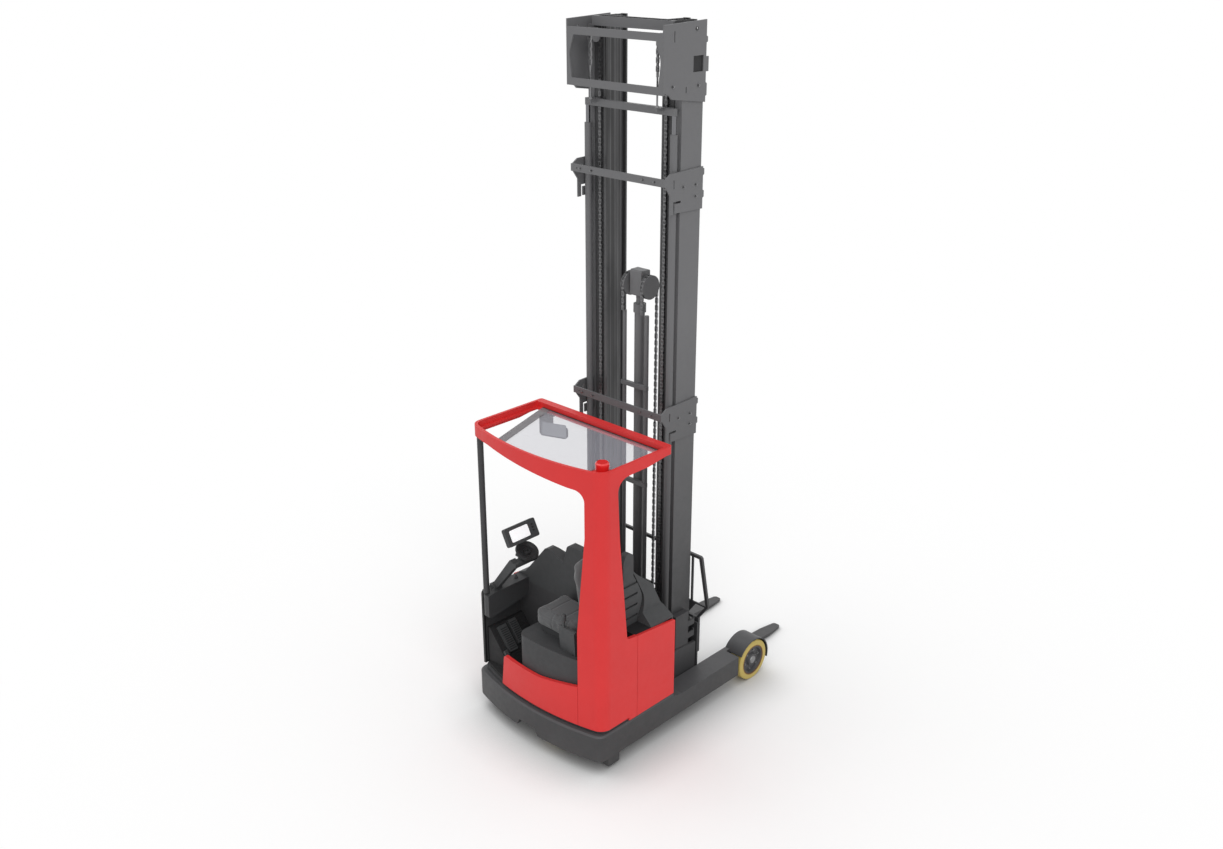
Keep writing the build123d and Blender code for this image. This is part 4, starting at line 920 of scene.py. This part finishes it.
for name, side in (("load_wheel_left", 1), ("load_wheel_right", -1)):
    axle = Vector((axle_x, 0, axle_z))
    bm = bmesh.new()
    for number in range(6):
        angle = math.radians(60 * number + 15)
        spot = axle + Vector((bolt_circle * math.cos(angle), side * 0.609,
                              bolt_circle * math.sin(angle)))
        add_bolt(bm, spot, (0, side, 0), 0.0085)
    add_rod(bm, axle + Vector((0, side * 0.62, 0)), axle + Vector((0, side * 0.6305, 0)),
            0.034, 28, 0.028)
    as_piece(bm, name + "_nuts", finishes["chain_steel"], name)

    bm = bmesh.new()
    bm.faces.new([bm.verts.new((axle_x + r, side * y, axle_z)) for r, y in (
        (bond_inner, 0.6285), (bond_outer, 0.6285), (bond_outer, 0.6325),
        (bond_inner, 0.6325)
    )])
    bmesh.ops.spin(bm, geom=bm.faces[:] + bm.edges[:] + bm.verts[:], cent=axle,
                   axis=(0, 1, 0), angle=2 * math.pi, steps=64, use_merge=True)
    bmesh.ops.remove_doubles(bm, verts=bm.verts, dist=0.0001)
    walls = [f for f in bm.faces if all(len(e.link_faces) > 2 for e in f.edges)]
    bmesh.ops.delete(bm, geom=walls, context="FACES_ONLY")
    as_piece(bm, name + "_bond", brown_bond, name)

# %% [markdown]
# ## Bolts on the mast
#
# The crossbars and the mast head are bolted to the outer stage. Each bolt is a hexagon
# on a washer, set where the plate is, and rides on the outer stage. A loop over the two
# crossbars and the two sides places them all.

# %% Mast bolts
crossbar_heights = (3.9475, 2.3695)
crossbar_face_x = -0.362
bracket_face_y = 0.418

bm = bmesh.new()
for z in crossbar_heights:
    for y in (-0.33, -0.23, 0.23, 0.33):
        add_bolt(bm, (crossbar_face_x, y, z), (-1, 0, 0), 0.007)
    for side in (-1, 1):
        for x, drop in ((-0.18, 0.045), (-0.06, 0.045), (-0.06, 0.12)):
            add_bolt(bm, (x, side * bracket_face_y, z - drop), (0, side, 0), 0.008)
for side in (-1, 1):
    for x, z in ((-0.06, 4.52), (-0.3, 4.53)):
        add_bolt(bm, (x, side * bracket_face_y, z), (0, side, 0), 0.009)
as_piece(bm, "mast_bolts", finishes["chain_steel"], "mast_outer")

# %% [markdown]
# ## Painted shade in two hollows
#
# Two openings look into unlit hollows: the windows in the mast head's cheeks, and the
# gap between the seat shell and the battery. A black sheet behind each is painted shade
# that keeps it dark.

# %% Painted shade sheets
bm = bmesh.new()
for side in (-1, 1):
    near_y, far_y = sorted((side * 0.4085, side * 0.4105))
    add_block(bm, (-0.1105, near_y, 4.6025), (-0.0165, far_y, 4.6985))
as_piece(bm, "head_window_painted_shade", black_plastic, "mast_outer")

bm = bmesh.new()
add_block(bm, (-0.79, -0.607, 0.946), (-0.43, -0.02, 0.952), 0.001)
as_piece(bm, "battery_gap_painted_shade", black_plastic, "chassis")

# %% [markdown]
# ## What a ray of sight sees
#
# The picture's white floor and background would flood the truck with light if they were
# real. Light Path tells the rays apart: rays of sight see white, while the rays that
# light the truck meet a pale grey floor and a dimmer world. Sight here means the camera's
# rays and those that a mirror or glass sends on.

# %% Two shaders, chosen by ray
def seen_ray(tree):
    """1 for a camera, glossy or transmission ray, else 0."""
    path = tree.nodes.new("ShaderNodeLightPath")
    value = path.outputs["Is Camera Ray"]
    for other in ("Is Glossy Ray", "Is Transmission Ray"):
        most = tree.nodes.new("ShaderNodeMath")
        most.operation = "MAXIMUM"
        tree.links.new(value, most.inputs[0])
        tree.links.new(path.outputs[other], most.inputs[1])
        value = most.outputs[0]
    return value


def blend(tree, factor, first, second):
    """Mix two shaders."""
    node = tree.nodes.new("ShaderNodeMixShader")
    tree.links.new(factor, node.inputs["Fac"])
    tree.links.new(first, node.inputs[1])
    tree.links.new(second, node.inputs[2])
    return node.outputs[0]


def choose_shader(tree, plain, shown, output):
    """The plain shader lights the truck; the shown one is what a ray of sight meets."""
    tree.links.new(blend(tree, seen_ray(tree), plain, shown), output)


# %% [markdown]
# ## The floor
#
# A truck without a contact shadow seems to float. Near the truck the shown floor is a
# diffuse white that Ambient Occlusion darkens under the wheels and the forks, and
# further out it fades to plain white light, so that the floor has no far edge.

# %% Floor
contact_reach = 0.45
fade_from, fade_to = 1.6, 5.0

bpy.ops.mesh.primitive_plane_add(size=400)
floor = bpy.context.object
floor.name = "studio_floor"
floor_paint, tree, shader, place = new_material("floor_paint")
shader.inputs["Base Color"].default_value = (0.8, 0.8, 0.8, 1)
shader.inputs["Roughness"].default_value = 0.9

near = tree.nodes.new("ShaderNodeBsdfDiffuse")
nearness = tree.nodes.new("ShaderNodeAmbientOcclusion")
nearness.inputs["Distance"].default_value = contact_reach
nearness.samples = 16
contact = spread(tree, nearness.outputs["AO"], 0, 1, 0.35, 0.97)
tree.links.new(mixed(tree, contact, (0.5, 0.5, 0.5), (1, 1, 1)), near.inputs["Color"])
far = tree.nodes.new("ShaderNodeEmission")
length = tree.nodes.new("ShaderNodeVectorMath")
length.operation = "LENGTH"
tree.links.new(place, length.inputs[0])
fade = spread(tree, length.outputs["Value"], 0, 1, fade_from, fade_to)
shown = blend(tree, fade, near.outputs[0], far.outputs[0])
choose_shader(tree, shader.outputs[0], shown, tree.nodes["Material Output"].inputs["Surface"])
floor.data.materials.append(floor_paint)
print("floor ready")

# %% [markdown]
# ## World and suns
#
# Soft studio light comes from a white world and two suns with wide discs, whose shadows
# are soft. A sun's strength is the same at the mast head as at the floor, which suits an
# object 4.9 m high. More lamps would only burn out the red paint.

# %% World
world = bpy.data.worlds.new("studio_world")
world.use_nodes = True
bpy.context.scene.world = world
tree = world.node_tree
soft = tree.nodes["Background"]
soft.inputs["Color"].default_value = (1, 1, 1, 1)
soft.inputs["Strength"].default_value = 0.64
white = tree.nodes.new("ShaderNodeBackground")
white.inputs["Color"].default_value = (1, 1, 1, 1)
white.inputs["Strength"].default_value = 1.0
choose_shader(tree, soft.outputs[0], white.outputs[0],
              tree.nodes["World Output"].inputs["Surface"])
print("world", round(soft.inputs["Strength"].default_value, 2))

# %% Suns
def sun(name, towards, strength, disc_degrees):
    data = bpy.data.lights.new(name, "SUN")
    data.energy = strength
    data.angle = math.radians(disc_degrees)
    item = bpy.data.objects.new(name, data)
    item.rotation_euler = Vector(towards).to_track_quat("-Z", "Y").to_euler()
    bpy.context.scene.collection.objects.link(item)
    print(name, strength)


sun("key_sun", (0.45, 0.62, -0.64), 1.0, 50)
sun("top_sun", (0.2, -0.45, -1), 0.55, 60)

# %% [markdown]
# ## Finish
#
# The Standard view shows colours as they are, without a film look. The visual model has
# to stay inside the CAD model's box.

# %% View transform
bpy.context.scene.view_settings.view_transform = "Standard"
